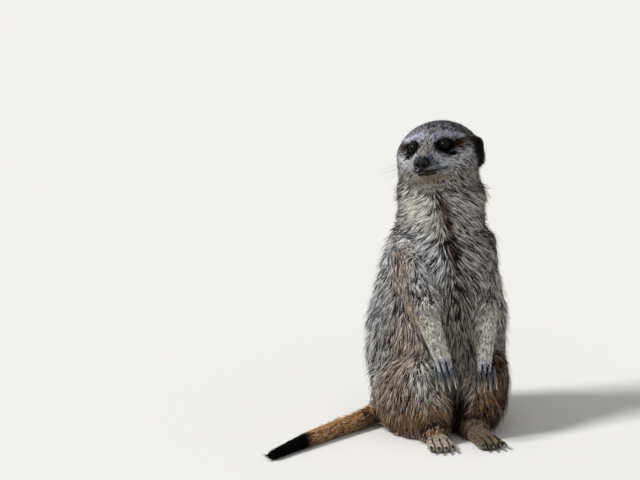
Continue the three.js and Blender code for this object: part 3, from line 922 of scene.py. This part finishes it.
# Shapes of a closed tuft: corners as (place, share of the width across, height over it) and faces. The
# head's tufts are straight, and the others bend over their middle.
STRAIGHT = {
    "corners": [("root", -0.5, 0), ("root", 0.5, 0), ("root", 0, RIDGE), ("tip", 0, 0)],
    "faces": [(0, 1, 3), (1, 2, 3), (2, 0, 3), (2, 1, 0)],
}
BENT = {
    "corners": [
        ("root", 0, 0), ("middle", -0.5, 0), ("middle", 0.5, 0), ("middle", 0, RIDGE), ("tip", 0, 0),
    ],
    "faces": [(0, 1, 2), (0, 2, 3), (0, 3, 1), (4, 2, 1), (4, 3, 2), (4, 1, 3)],
}
ALONG = {"root": 0.0, "middle": 0.5, "tip": 1.0}


def grow_piece(name, facts, places, bent, slot):
    """A piece of the coat: closed tufts as one mesh, with their facts as attributes."""
    shape = BENT if bent else STRAIGHT
    across, normal, width = facts["across"], facts["normal"], facts["width"][:, None]
    corners = [
        facts[ring] + (across * side + normal * rise) * width for ring, side, rise in shape["corners"]
    ]
    count, size = len(width), len(corners)
    at = np.stack(corners, 1).reshape(-1, 3).astype(np.float32)
    own = np.array(shape["faces"], np.int32)
    faces = (own[None] + (np.arange(count) * size)[:, None, None]).reshape(-1, 3).astype(np.int32)
    mesh = bpy.data.meshes.new(name)
    mesh.vertices.add(len(at))
    mesh.vertices.foreach_set("co", at.ravel())
    mesh.loops.add(faces.size)
    mesh.loops.foreach_set("vertex_index", faces.ravel())
    mesh.polygons.add(len(faces))
    mesh.polygons.foreach_set("loop_start", np.arange(0, faces.size, 3, dtype=np.int32))
    mesh.update(calc_edges=True)
    mesh.shade_smooth()
    along = np.array([ALONG[ring] for ring, _, _ in shape["corners"]])
    chance = np.repeat(facts["chance"], size, 0)
    hairs = np.repeat(facts["hairs"], size, 0)
    add_field(mesh, "tuft", np.column_stack([np.tile(along, count), chance, np.ones(len(at))]))
    add_field(mesh, "pale_hair", hairs[:, :4])
    add_field(mesh, "dark_hair", hairs[:, 4:])
    sides = np.array([side for _, side, _ in shape["corners"]])
    patch = np.stack([sides[own], along[own] - 0.5], 2).reshape(-1, 2) * PATCH
    uv = (places[:, None] + patch[None]).reshape(-1, 2)
    layer = mesh.uv_layers.new(name="OFBake")
    layer.data.foreach_set("uv", uv.astype(np.float32).ravel())
    return finished(new_object(name, mesh, finish_of("meerkat_coat", coat_finish)), slot)


def grow_coat(region):
    skin_object, skin = SKIN["object"], SKIN["fields"]
    parts, split, bent, lock, slot = REGIONS[region]
    rng = np.random.default_rng(SEED + len(region))
    facts = tufts(skin, parts, lock, rng)
    places = map_places(facts["root"], *skin_map(skin_object, parts, skin))
    for k in range(split):
        mine = {key: values[k::split] for key, values in facts.items()}
        name = f"coat_{region}" + (f"_{k + 1}" if split > 1 else "")
        grow_piece(name, mine, places[k::split], bent, slot)


# ---- finishes ----
# Specular level of each surface
GLOSS = {
    "coat": 0.05, "skin": 0.05, "bare_skin": 0.05, "lip_skin": 0.15, "nose_leather": 0.16,
    "claw": 0.45, "whisker": 0.2, "eye": 0.0, "floor": 0.0,
}
# Waves a metre of the noise in each surface; that of the iris is in its own field
GRAIN = {"skin": 800.0, "claw": 700.0, "whisker": 300.0, "iris": 9.0}
HAIR_SOFT = 0.06  # a hair is between pale and dark where its chance is so near the share of dark ones
TICKED = (0.72, 0.98)  # the dark of a pale hair's tip comes in between these shares of its length
LEAST_PALE = 0.03  # share of the pale colour in a dark hair
# Painted shade deep in the coat: a hair darkens towards its root
ROOT_SHADE, ROOT_END = 0.3, 0.65  # brightness of a hair at its root, and where that ends along it
OWN_SHADE = (0.7, 1.3)  # brightness of the darkest and the brightest hairs of a tone
HAIR_ROUGH = (0.75, 0.6)  # roughness of dark and of pale hairs
# The skin takes the hairs' painted shade near the roots
UNDERCOAT = 0.16  # the skin is as bright as a hair at this share of its length
SKIN_CHANCE = (0.35, 0.65)  # noise of the skin from all pale to all dark
SKIN_ROUGH = 0.8
SKIN_PORES, LEATHER_PORES = 900.0, 1500.0  # a metre
PORE_DEPTH, PORE_STRENGTH = 0.2 * MM, 0.5
LEATHER_TONE, LEATHER_ROUGH = (0.6, 1.7), (0.22, 0.4)  # in the middle of a pore and between pores
IRIS_TONE = (0.5, 1.8)  # brightness of the darkest and the palest fibres
PUPIL, IRIS_RIM = (0.105, 0.125), (0.23, 0.26)  # where they end, in half turns from the eye's axis
PUPIL_TONE, BALL_TONE = (0.0005, 0.0005, 0.0005, 1), (0.001, 0.001, 0.001, 1)
EYE_WET = {"Roughness": 0.3, "Coat Weight": 0.42, "Coat IOR": 1.33, "Coat Roughness": 0.03}
CLAW_STREAKS = (-0.15, 0.15)  # how far streaks shift the horn's colour along a claw, as shares of it
CLAW_TURN, CLAW_ROUGH = (0.35, 0.95), (0.25, 0.45)  # where a claw turns pale, and its roughness
WHISKER_TONE, WHISKER_ROUGH = 0.6, 0.4


def fill(tree, made, inputs):
    """Give a node's inputs their values, or link them to the sockets given."""
    for key, value in inputs.items():
        if isinstance(value, bpy.types.NodeSocket):
            tree.links.new(value, made.inputs[key])
        else:
            made.inputs[key].default_value = value


def node(tree, kind, inputs=None, **facts):
    made = tree.nodes.new("ShaderNode" + kind)
    for key, value in facts.items():
        setattr(made, key, value)
    fill(tree, made, inputs or {})
    return made


def math_node(tree, operation, *values):
    return node(tree, "Math", dict(enumerate(values)), operation=operation).outputs[0]


def between(tree, share, low, high):
    """low where the share is 0, high where it is 1, and so on beyond."""
    return math_node(tree, "MULTIPLY_ADD", share, high - low, low)


def ranged(tree, value, low, high):
    """low where the value is 0, high where it is 1, and no further."""
    return node(tree, "MapRange", {"Value": value, "To Min": low, "To Max": high}).outputs["Result"]


def ramp(tree, value, low, high):
    """0 below low, 1 above high, smooth between."""
    ends = {"Value": value, "From Min": low, "From Max": high}
    return node(tree, "MapRange", ends, interpolation_type="SMOOTHSTEP").outputs["Result"]


def mixed(tree, share, a, b):
    return node(tree, "Mix", {0: share, 6: a, 7: b}, data_type="RGBA").outputs[2]


def noise(tree, place, kind, **inputs):
    return node(tree, "TexNoise", {"Vector": place, "Scale": GRAIN[kind], **inputs}).outputs["Fac"]


def attribute(tree, name):
    return node(tree, "Attribute", attribute_name=name).outputs


def place_in(tree):
    return node(tree, "TexCoord").outputs["Object"]


def shaded(colour_, share):
    return (*(min(c * share, 1) for c in colour_), 1)


def new_group(name, inputs, outputs):
    """A node group with (kind, name, default) inputs and (kind, name) outputs, and its two ends."""
    group = bpy.data.node_groups.new(name, "ShaderNodeTree")
    for kind, label, default in inputs:
        made = group.interface.new_socket(label, in_out="INPUT", socket_type="NodeSocket" + kind)
        made.default_value = default
    for kind, label in outputs:
        group.interface.new_socket(label, in_out="OUTPUT", socket_type="NodeSocket" + kind)
    return group, group.nodes.new("NodeGroupInput").outputs, group.nodes.new("NodeGroupOutput")


def grouped(tree, name, make, inputs):
    """A node of the group of that name, which is made by make(name) when it is first asked for."""
    group = bpy.data.node_groups.get(name) or make(name)
    return node(tree, "Group", inputs, node_tree=group).outputs


def hair_group(name):
    """Colour of a hair from its pale and dark colours, the way along it and its own chance, with painted
    shade towards its root.
    """
    grey = (0.5, 0.5, 0.5, 1)
    halves = [("Float", label, 0.5) for label in ("Dark share", "Ticking", "Along", "Chance", "Shade")]
    group, given, out = new_group(
        name,
        [("Color", "Pale hair", grey), ("Color", "Dark hair", grey), *halves],
        [("Color", "Colour"), ("Float", "Roughness")],
    )
    pale = math_node(group, "SUBTRACT", given["Chance"], given["Dark share"])
    pale = ramp(group, pale, -HAIR_SOFT, HAIR_SOFT)
    ticked = math_node(group, "MULTIPLY", ramp(group, given["Along"], *TICKED), given["Ticking"])
    pale = math_node(group, "MULTIPLY", pale, math_node(group, "SUBTRACT", 1.0, ticked))
    pale = math_node(group, "MAXIMUM", pale, LEAST_PALE)
    tone = mixed(group, pale, given["Dark hair"], given["Pale hair"])
    # Painted shade: darker towards the root, where the coat shades itself
    depth = between(group, ramp(group, given["Along"], 0.0, ROOT_END), ROOT_SHADE, 1.0)
    bright = math_node(group, "MULTIPLY", depth, between(group, given["Shade"], *OWN_SHADE))
    tone = node(group, "VectorMath", {0: tone, "Scale": bright}, operation="SCALE").outputs[0]
    fill(group, out, {"Colour": tone, "Roughness": between(group, pale, *HAIR_ROUGH)})
    return group


def relief_group(name):
    """Fine creases and pores as a normal, and a mask that is 0 in the middle of a pore."""
    group, given, out = new_group(
        name,
        [("Vector", "Place", (0, 0, 0)), ("Float", "Pores a metre", SKIN_PORES),
         ("Float", "Depth", PORE_DEPTH), ("Float", "Strength", PORE_STRENGTH)],
        [("Vector", "Normal"), ("Float", "Mask")],
    )
    where = {"Vector": given["Place"], "Scale": given["Pores a metre"]}
    pores = node(group, "TexVoronoi", where).outputs["Distance"]
    creases = node(group, "TexNoise", {**where, "Detail": 3.0}).outputs["Fac"]
    height = math_node(group, "ADD", pores, creases)
    depth = {"Distance": given["Depth"], "Strength": given["Strength"]}
    bump = node(group, "Bump", {"Height": height, **depth}).outputs[0]
    fill(group, out, {"Normal": bump, "Mask": pores})
    return group


def hair_look(tree, inputs):
    """Colour and roughness of the hair, with painted shade towards the root, where a surface has the fields
    of its markings and painted shade.
    """
    pale, dark = attribute(tree, "pale_hair"), attribute(tree, "dark_hair")
    given = {"Pale hair": pale["Color"], "Dark hair": dark["Color"]}
    given.update({"Dark share": pale["Alpha"], "Ticking": dark["Alpha"]})
    return grouped(tree, "Hair colour", hair_group, {**given, **inputs})


def relief_look(tree, place, **inputs):
    """Normal and mask of the pores and creases."""
    return grouped(tree, "Skin relief", relief_group, {"Place": place, **inputs})


def finish_of(name, make, *facts):
    """The material of that name. When it is first asked for, make gives the inputs of its shader."""
    material = bpy.data.materials.get(name)
    if not material:
        material = bpy.data.materials.new(name)
        material.use_nodes = True
        tree = material.node_tree
        fill(tree, tree.nodes["Principled BSDF"], make(tree, *facts))
    return material


def coat_finish(tree):
    facts = node(tree, "SeparateColor", {"Color": attribute(tree, "tuft")["Color"]}).outputs
    look = hair_look(tree, dict(zip(("Along", "Chance", "Shade"), facts)))
    return {
        "Base Color": look["Colour"], "Roughness": look["Roughness"], "Specular IOR Level": GLOSS["coat"],
    }


def skin_finish(tree):
    place = place_in(tree)
    grain = noise(tree, place, "skin", Detail=2.0, Roughness=0.6)
    chance = ramp(tree, grain, *SKIN_CHANCE)
    look = hair_look(tree, {"Chance": chance, "Shade": grain, "Ticking": 0.0, "Along": UNDERCOAT})
    return {
        "Base Color": look["Colour"],
        "Normal": relief_look(tree, place)["Normal"],
        "Roughness": SKIN_ROUGH,
        "Specular IOR Level": GLOSS["skin"],
    }


def eye_finish(tree):
    iris = bpy.context.scene.meerkat_finish.iris
    field = attribute(tree, "iris")["Color"]
    off_axis = node(tree, "SeparateColor", {"Color": field}).outputs[0]
    fibres = noise(tree, field, "iris", Detail=4.0)
    ball = mixed(tree, fibres, *(shaded(iris, share) for share in IRIS_TONE))
    ball = mixed(tree, ramp(tree, off_axis, *PUPIL), PUPIL_TONE, ball)
    ball = mixed(tree, ramp(tree, off_axis, *IRIS_RIM), ball, BALL_TONE)
    return {"Base Color": ball, "Specular IOR Level": GLOSS["eye"], **EYE_WET}


def leather_finish(tree, field):
    base = getattr(bpy.context.scene.meerkat_finish, field)
    relief = relief_look(tree, place_in(tree), **{"Pores a metre": LEATHER_PORES})
    return {
        "Base Color": mixed(tree, relief["Mask"], *(shaded(base, share) for share in LEATHER_TONE)),
        "Normal": relief["Normal"],
        "Roughness": ranged(tree, relief["Mask"], *LEATHER_ROUGH),
        "Specular IOR Level": GLOSS[field],
    }


def leather(field):
    return finish_of("meerkat_" + field, leather_finish, field)


def claw_finish(tree, digit):
    finish = bpy.context.scene.meerkat_finish
    ends = (shaded(getattr(finish, f"{digit}_claw_{end}"), 1) for end in ("root", "tip"))
    streaks = noise(tree, place_in(tree), "claw", Detail=2.0)
    shift = between(tree, streaks, *CLAW_STREAKS)
    along = math_node(tree, "ADD", attribute(tree, "along")["Fac"], shift)
    return {
        "Base Color": mixed(tree, ramp(tree, along, *CLAW_TURN), *ends),
        "Roughness": ranged(tree, streaks, *CLAW_ROUGH),
        "Specular IOR Level": GLOSS["claw"],
    }


def whisker_finish(tree):
    base = bpy.context.scene.meerkat_finish.whisker
    grain = noise(tree, place_in(tree), "whisker")
    tone = mixed(tree, grain, shaded(base, WHISKER_TONE), shaded(base, 1))
    return {"Base Color": tone, "Roughness": WHISKER_ROUGH, "Specular IOR Level": GLOSS["whisker"]}


def floor_finish(_tree):
    tone = shaded(bpy.context.scene.meerkat_stage.floor, 1)
    return {"Base Color": tone, "Roughness": 1, "Specular IOR Level": GLOSS["floor"]}


# ---- eyes and lids ----
GAZE = {"out": 27, "up": 4}  # way that each eye looks, in degrees from straight ahead
BALL_PARTS = {"u_segments": 40, "v_segments": 48}
CORNEA = {"proud": 0.12, "reach": 0.8, "steep": 1.5}  # in mm, in radians, and the power of its slope
LID_OPEN = {"wide": 44, "upper": 37, "lower": 31.82}  # half of the lids' opening, in degrees
LID_CORNER = (5, 6)  # how far the opening runs out at its corners, in degrees, and how sharply
LID_PARTS = 48
LID_RINGS = [(0, 1.01), (3, 1.06), (12, 1.08), (30, 1.0), (24, 0.9), (6, 0.9)]  # degrees out, radius


def eye_frame(side):
    """Frame at the middle of an eye that faces along +Z, and the eye's radius."""
    low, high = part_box("eye_" + side)
    gaze = towards(SIDES[side] * math.radians(GAZE["out"]), math.radians(GAZE["up"]))
    ahead = HEAD.to_3x3() @ gaze
    across = (HEAD.to_3x3() @ Vector((0, 0, 1))).cross(ahead).normalized()
    turn = Matrix((across, ahead.cross(across), ahead)).transposed().to_4x4()
    return Matrix.Translation((low + high) / 2) @ turn, (high.z - low.z) / 2


def build_eye(side):
    place, radius = eye_frame(side)
    bm = bmesh.new()
    bmesh.ops.create_uvsphere(bm, radius=radius, **BALL_PARTS)
    # The ball's faces come in an order that changes from run to run, so they are put in order
    bm.verts.index_update()
    bm.faces.sort(key=lambda f: f.verts[0].index * len(bm.verts) + f.verts[2].index)
    iris = bm.verts.layers.float_color.new("iris")
    for v in bm.verts:
        off_axis = v.co.normalized().angle(Vector((0, 0, 1)))
        bulge = max(0.0, 1 - (off_axis / CORNEA["reach"]) ** 2) ** CORNEA["steep"]
        around = math.atan2(v.co.y, v.co.x)
        v[iris] = (off_axis / math.pi, 0.5 + 0.5 * math.cos(around), 0.5 + 0.5 * math.sin(around), 1)
        v.co += v.co.normalized() * bulge * CORNEA["proud"] * MM
    bmesh.ops.transform(bm, matrix=place, verts=bm.verts)
    ball = object_from("eye_ball_" + side, bm, finish_of("meerkat_eye", eye_finish))
    return finished(ball, "eye", "eye_" + side)


def build_lids(side):
    """A closed rim of bare skin about the eye, with the almond of its opening."""
    place, radius = eye_frame(side)
    bm = bmesh.new()
    rings = []
    far, sharp = LID_CORNER
    for more, share in LID_RINGS:
        ring = bmesh.ops.create_circle(bm, segments=LID_PARTS, radius=1)["verts"]
        for v in ring:
            around = math.atan2(v.co.y, v.co.x)
            wide, high = LID_OPEN["wide"], LID_OPEN["lower" if v.co.y < 0 else "upper"]
            opening = wide * high / math.hypot(high * math.cos(around), wide * math.sin(around))
            off = math.radians(opening + far * abs(math.cos(around)) ** sharp + more)
            flat = math.sin(off)
            v.co = Vector((flat * math.cos(around), flat * math.sin(around), math.cos(off)))
            v.co *= radius * share
        rings.append(ring)
    for one, two in zip(rings, rings[1:] + rings[:1]):
        bridge(bm, one, two)
    bmesh.ops.recalc_face_normals(bm, faces=bm.faces)
    bmesh.ops.transform(bm, matrix=place, verts=bm.verts)
    lids = object_from("eyelids_" + side, bm, leather("bare_skin"))
    subdivide(lids, 1)
    return finished(lids, "nose_skin")


# ---- nose and mouth ----
NOSE_SIZE = (5.5, 4.9, 5.6)  # half sizes of the nose across, along and up, in mm
NOSE_TAPER = (0.24, 0.2)  # how much narrower it is at its bottom and its top
NOSE_DETAIL = 5  # times that its ball is divided
# Hollows and swellings of the nose: (place and radius in shares of its half sizes, push in mm)
NOSE_PUSHES = [
    ((0.44, -0.82, -0.2), 0.4, (-0.2, 3.4, 0.2)),
    ((0.72, -0.6, -0.42), 0.36, (-0.9, 2.2, 0.2)),
    ((0.0, -0.95, -0.4), 0.2, (0, 1.1, 0.1)),
    ((0.0, -0.8, -0.8), 0.22, (0, 1.2, 0.4)),
    ((0.62, -0.7, 0.15), 0.4, (0.35, -0.5, 0.15)),
    ((0.0, -0.95, 0.1), 0.42, (0, 0.7, 0)),
    ((0.0, -0.5, 0.85), 0.6, (0, 0.3, -0.9)),
]


def build_nose():
    bm = bmesh.new()
    bmesh.ops.create_icosphere(bm, subdivisions=NOSE_DETAIL, radius=1)
    for v in bm.verts:
        push = Vector()
        for (x, y, z), radius, way in NOSE_PUSHES:
            for side in (1, -1) if x else (1,):
                gap = (v.co - Vector((side * x, y, z))).length / radius
                if gap < 1:
                    share = (1 - gap * gap) ** 2
                    push += Vector((side * way[0], way[1], way[2])) * share
        taper = 1 - NOSE_TAPER[0] * max(0.0, -v.co.z) - NOSE_TAPER[1] * max(0.0, v.co.z)
        v.co = Vector((v.co.x * NOSE_SIZE[0] * taper, v.co.y * NOSE_SIZE[1], v.co.z * NOSE_SIZE[2]))
        v.co = (v.co + push) * MM
    at = Matrix.Translation(centre("nose")) @ HEAD.to_3x3().to_4x4()
    bmesh.ops.transform(bm, matrix=at, verts=bm.verts)
    return finished(object_from("nose_pad", bm, leather("nose_leather")), "nose_skin", "nose")


# The line of the closed mouth from under the nose to its corner, in mm in the head's frame
MOUTH = [
    (0, -26, -19.4), (3, -23, -20.4), (6.2, -20.5, -20.8), (9.8, -14.4, -20.2), (14, -6.8, -19.4),
    (16.5, -3.6, -18),
]
MOUTH_PARTS = 22  # points on that line
LIP = (0.42, 0.22)  # radius of the lips in the middle and at the corner, in mm
LIP_HEIGHT = 0.35 * MM  # of their middle over the skin
LIP_SIDES = 8


def swept(bm, path, radii, sides):
    """A closed round tube along a path."""
    ring = None
    for k, (place, radius) in enumerate(zip(path, radii)):
        way = (path[min(k + 1, len(path) - 1)] - path[max(k - 1, 0)]).normalized()
        turn = way.to_track_quat("Z", "Y").to_matrix().to_4x4()
        made = bmesh.ops.create_circle(
            bm, cap_ends=k in (0, len(path) - 1), segments=sides, radius=radius,
            matrix=Matrix.Translation(place) @ turn,
        )["verts"]
        if ring:
            bridge(bm, ring, made)
        ring = made
    bmesh.ops.recalc_face_normals(bm, faces=bm.faces)


def smooth_path(points, count):
    """Points spaced evenly on a smooth curve through the given ones."""
    given = np.array(points, float)
    keys = np.arange(len(given))
    fine = np.linspace(0, len(given) - 1, count)
    first = np.stack([np.interp(fine, keys, given[:, k]) for k in range(3)], 1)
    for _ in range(max(count // len(given), 1)):
        first[1:-1] = (first[:-2] + 2 * first[1:-1] + first[2:]) / 4
    return first


def build_lips():
    """The dark line where the lips meet, from corner to corner."""
    skin = SKIN["fields"]
    half = smooth_path(MOUTH, MOUTH_PARTS)
    whole = np.concatenate([half[::-1] * [-1, 1, 1], half[1:]])
    path = []
    for p in whole:
        place, normal, _, _ = skin.tree.find_nearest(from_head(*p))
        path.append(place + normal * LIP_HEIGHT)
    middle, corner = LIP
    share = np.abs(np.linspace(-1, 1, len(path)))
    bm = bmesh.new()
    swept(bm, path, (middle + (corner - middle) * share**2) * MM, LIP_SIDES)
    return finished(object_from("lips", bm, leather("lip_skin")), "nose_skin")


# ---- whiskers and claws ----
# Rows of whiskers: (first and last root in the head's frame, how many, length in mm, way)
WHISKERS = [
    ((9, -20, -13), (12.5, -12, -11.5), 4, 36, (0.9, 0.35, 0.12)),
    ((9, -20, -15.5), (13, -12, -14.5), 4, 40, (0.92, 0.35, -0.08)),
    ((8.5, -20, -18), (13, -11, -17.5), 3, 34, (0.88, 0.35, -0.3)),
    ((12, -4, 9), (18, 3, 10.5), 2, 20, (0.35, 0.2, 0.9)),
    ((20, 0, -20), (24, 4, -21), 1, 24, (0.85, 0.5, -0.25)),
    ((3, -16, -27.5), (6, -12, -28), 2, 12, (0.3, -0.2, -0.9)),
]
# Radius at the root and share of it that is gone at the tip, depth of the root, in mm; places along it
# and round it
WHISKER = {"radius": 0.12, "taper": 0.88, "sunk": 0.5, "parts": 7, "sides": 4}
# How chance changes a whisker: its way, its length; how far it stands up from the skin, and droops
WHISKER_STRAY, WHISKER_LENGTHS, WHISKER_LIFT, WHISKER_DROOP = 0.12, (0.75, 1.15), 0.35, (0.05, 0.28)
DROOP_WAY = (0, 0.35, -1)  # backwards and down in the head's frame


def build_whiskers():
    skin = SKIN["fields"]
    rng = np.random.default_rng(SEED)
    shares = np.linspace(0, 1, WHISKER["parts"])
    bm = bmesh.new()
    for side in SIDES.values():
        for first, last, count, length, way in WHISKERS:
            for t in np.linspace(0, 1, count):
                mm = [a + (b - a) * t for a, b in zip(first, last)]
                root, normal, _, _ = skin.tree.find_nearest(from_head(side * mm[0], *mm[1:]))
                own = Vector(way) + Vector(rng.normal(0, WHISKER_STRAY, 3))
                own = (HEAD.to_3x3() @ Vector((side * own.x, own.y, own.z))).normalized()
                own = (own + normal * WHISKER_LIFT).normalized()
                long = length * rng.uniform(*WHISKER_LENGTHS) * MM
                droop = (HEAD.to_3x3() @ Vector(DROOP_WAY)) * rng.uniform(*WHISKER_DROOP)
                root = root - normal * WHISKER["sunk"] * MM
                path = [root + (own * s + droop * s * s) * long for s in shares]
                radii = WHISKER["radius"] * MM * (1.0 - WHISKER["taper"] * shares)
                swept(bm, path, radii, WHISKER["sides"])
    whiskers = object_from("whiskers", bm, finish_of("meerkat_whisker", whisker_finish))
    return finished(whiskers, "coat_pale")


CLAW_FILL = 0.3  # how far a claw is filled out before it is rounded, in mm
CLAW_SEAT = (0.3, 1.3)  # share of a claw that is sunk in its digit, and how deep its root is, in mm
CLAW_FLOOR = 0.3  # least height of a claw over the floor, in mm


def build_claws(side, paw, digit):
    """The claws of one paw, rounded, with the way from root to tip kept for their colour."""
    names = claws_of(digit, side)
    heart = centre(f"{paw}_{side}")
    seated, sunk = CLAW_SEAT
    inwards = Vector((0, 1, 0)) if digit == "fore" else Vector((0, 0, -1))

    def seat(bm):
        grow(bm, CLAW_FILL * MM)
        along = bm.verts.layers.float.new("along")
        far = [(v.co - heart).length for v in bm.verts]
        low, high = min(far), max(far)
        for v, gap in zip(bm.verts, far):
            v[along] = (gap - low) / (high - low)
            v.co += inwards * max(0.0, 1 - v[along] / seated) * sunk * MM
            v.co.z = max(v.co.z, CLAW_FLOOR * MM)

    horn = finish_of(f"meerkat_{digit}_claw", claw_finish, digit)
    claws = object_from(f"{digit}_claws_{side}", joined(names, seat), horn)
    subdivide(claws, 2)
    return finished(claws, "claw", *names)


# ---- stage ----
FLOOR_SPAN = 30  # edge of the floor, in metres
BACKDROP = 0.92  # brightness of what lies beyond the floor
SIGHT = 120  # how far the camera sees, in metres
TURN_POINT = 1.7 * MM  # height of the point that the camera turns about, over the figure's middle
# Lamps: (setting, turn from the camera in degrees, height in degrees, width of the source in degrees)
LAMPS = [("key_light", -66, 44, 14), ("fill_light", 0, 50, 50)]


def build_world():
    stage = bpy.context.scene.meerkat_stage
    world = bpy.data.worlds.new("stage_light")
    bpy.context.scene.world = world
    world.use_nodes = True
    tree = world.node_tree
    rays = node(tree, "LightPath").outputs
    shown = math_node(tree, "MAXIMUM", rays["Is Camera Ray"], rays["Is Glossy Ray"])
    shown = math_node(tree, "MAXIMUM", shown, rays["Is Transmission Ray"])
    strength = ranged(tree, shown, stage.sky_light, BACKDROP)
    fill(tree, tree.nodes["Background"], {"Color": (1, 1, 1, 1), "Strength": strength})


def placed(name, data, way):
    """A lamp or camera of that name that looks against the way."""
    holder = bpy.data.objects.new(name, data)
    bpy.context.scene.collection.objects.link(holder)
    holder.rotation_euler = way.to_track_quat("Z", "Y").to_euler()
    return holder


def build_stage():
    scene = bpy.context.scene
    stage = scene.meerkat_stage
    bm = bmesh.new()
    bmesh.ops.create_grid(bm, x_segments=1, y_segments=1, size=FLOOR_SPAN / 2)
    floor = object_from("stage_floor", bm, finish_of("stage_floor", floor_finish), smooth=False)
    build_world()
    for setting, turn, height, width in LAMPS:
        lamp = bpy.data.lights.new(setting, "SUN")
        lamp.energy = getattr(stage, setting)
        lamp.angle = math.radians(width)
        placed(setting, lamp, towards(stage.azimuth + math.radians(turn), math.radians(height)))
    low, high = CAD_BOX
    middle = Vector((0, 0, (low.z + high.z) / 2 + TURN_POINT))
    back = towards(stage.azimuth, stage.elevation)
    right = Vector((math.cos(stage.azimuth), math.sin(stage.azimuth), 0))
    place = middle + back * stage.distance
    aim = middle - right * stage.aim_left + back.cross(right) * stage.aim_above
    camera = bpy.data.cameras.new("camera")
    camera.lens = stage.lens
    camera.clip_end = SIGHT
    scene.camera = placed("camera", camera, place - aim)
    scene.camera.location = place
    scene.view_settings.view_transform = "Standard"


# ---- operators, panel and run ----
class MEERKAT_OT_skin(bpy.types.Operator):
    """Make the skin that stands for all the flesh"""

    bl_idname = "meerkat.skin"
    bl_label = "Skin"

    def execute(self, context):
        skin, outside = build_skin()
        fields = Skin(skin, outside)
        SKIN.update(object=skin, fields=fields)
        surface = fields.at + fields.normal * fields.sizes[:, :1] * MM
        hairs = with_markings_and_shade(surface, fields.hairs)
        add_field(skin.data, "pale_hair", hairs[:, :4])
        add_field(skin.data, "dark_hair", hairs[:, 4:])
        skin.data.materials.clear()
        skin.data.materials.append(finish_of("meerkat_skin", skin_finish))
        finished(skin, "coat_grey", *FLESH)
        return {"FINISHED"}


class MEERKAT_OT_eyes(bpy.types.Operator):
    """Make the eyes and their lids"""

    bl_idname = "meerkat.eyes"
    bl_label = "Eyes and lids"

    def execute(self, context):
        for side in SIDES:
            build_eye(side)
            build_lids(side)
        return {"FINISHED"}


class MEERKAT_OT_muzzle(bpy.types.Operator):
    """Make the nose, the lips and the whiskers"""

    bl_idname = "meerkat.muzzle"
    bl_label = "Nose, lips and whiskers"

    def execute(self, context):
        build_nose()
        build_lips()
        build_whiskers()
        return {"FINISHED"}


class MEERKAT_OT_claws(bpy.types.Operator):
    """Make the claws of the four paws"""

    bl_idname = "meerkat.claws"
    bl_label = "Claws"

    def execute(self, context):
        for side in SIDES:
            build_claws(side, "forepaw", "fore")
            build_claws(side, "hind_foot", "hind")
        return {"FINISHED"}


class MEERKAT_OT_coat(bpy.types.Operator):
    """Grow the coat over every region of the skin"""

    bl_idname = "meerkat.coat"
    bl_label = "Coat"

    def execute(self, context):
        for region in REGIONS:
            grow_coat(region)
        return {"FINISHED"}


class MEERKAT_OT_stage(bpy.types.Operator):
    """Make the floor, the lamps and the camera"""

    bl_idname = "meerkat.stage"
    bl_label = "Stage"

    def execute(self, context):
        build_stage()
        return {"FINISHED"}


OPERATORS = (
    MEERKAT_OT_skin,
    MEERKAT_OT_eyes,
    MEERKAT_OT_muzzle,
    MEERKAT_OT_claws,
    MEERKAT_OT_coat,
    MEERKAT_OT_stage,
)
SETTINGS = {
    "meerkat_hair": MeerkatHair,
    "meerkat_finish": MeerkatFinish,
    "meerkat_stage": MeerkatStage,
}


class MEERKAT_PT_panel(bpy.types.Panel):
    """The figure's settings and the steps that make it"""

    bl_idname = "MEERKAT_PT_panel"
    bl_label = "Meerkat figure"
    bl_space_type = "VIEW_3D"
    bl_region_type = "UI"
    bl_category = "Meerkat"

    def draw(self, context):
        layout = self.layout
        for setting, kind in SETTINGS.items():
            box = layout.box()
            for name in kind.__annotations__:
                box.prop(getattr(context.scene, setting), name)
        for step_ in OPERATORS:
            layout.operator(step_.bl_idname)


CLASSES = (*SETTINGS.values(), *OPERATORS, MEERKAT_PT_panel)


def register():
    for kind in CLASSES:
        bpy.utils.register_class(kind)
    for setting, kind in SETTINGS.items():
        setattr(bpy.types.Scene, setting, PointerProperty(type=kind))


def unregister():
    for setting in SETTINGS:
        delattr(bpy.types.Scene, setting)
    for kind in reversed(CLASSES):
        bpy.utils.unregister_class(kind)


def main():
    register()
    bpy.ops.meerkat.stage()
    bpy.ops.meerkat.skin()
    bpy.ops.meerkat.eyes()
    bpy.ops.meerkat.muzzle()
    bpy.ops.meerkat.claws()
    bpy.ops.meerkat.coat()


if __name__ == "__main__":
    main()
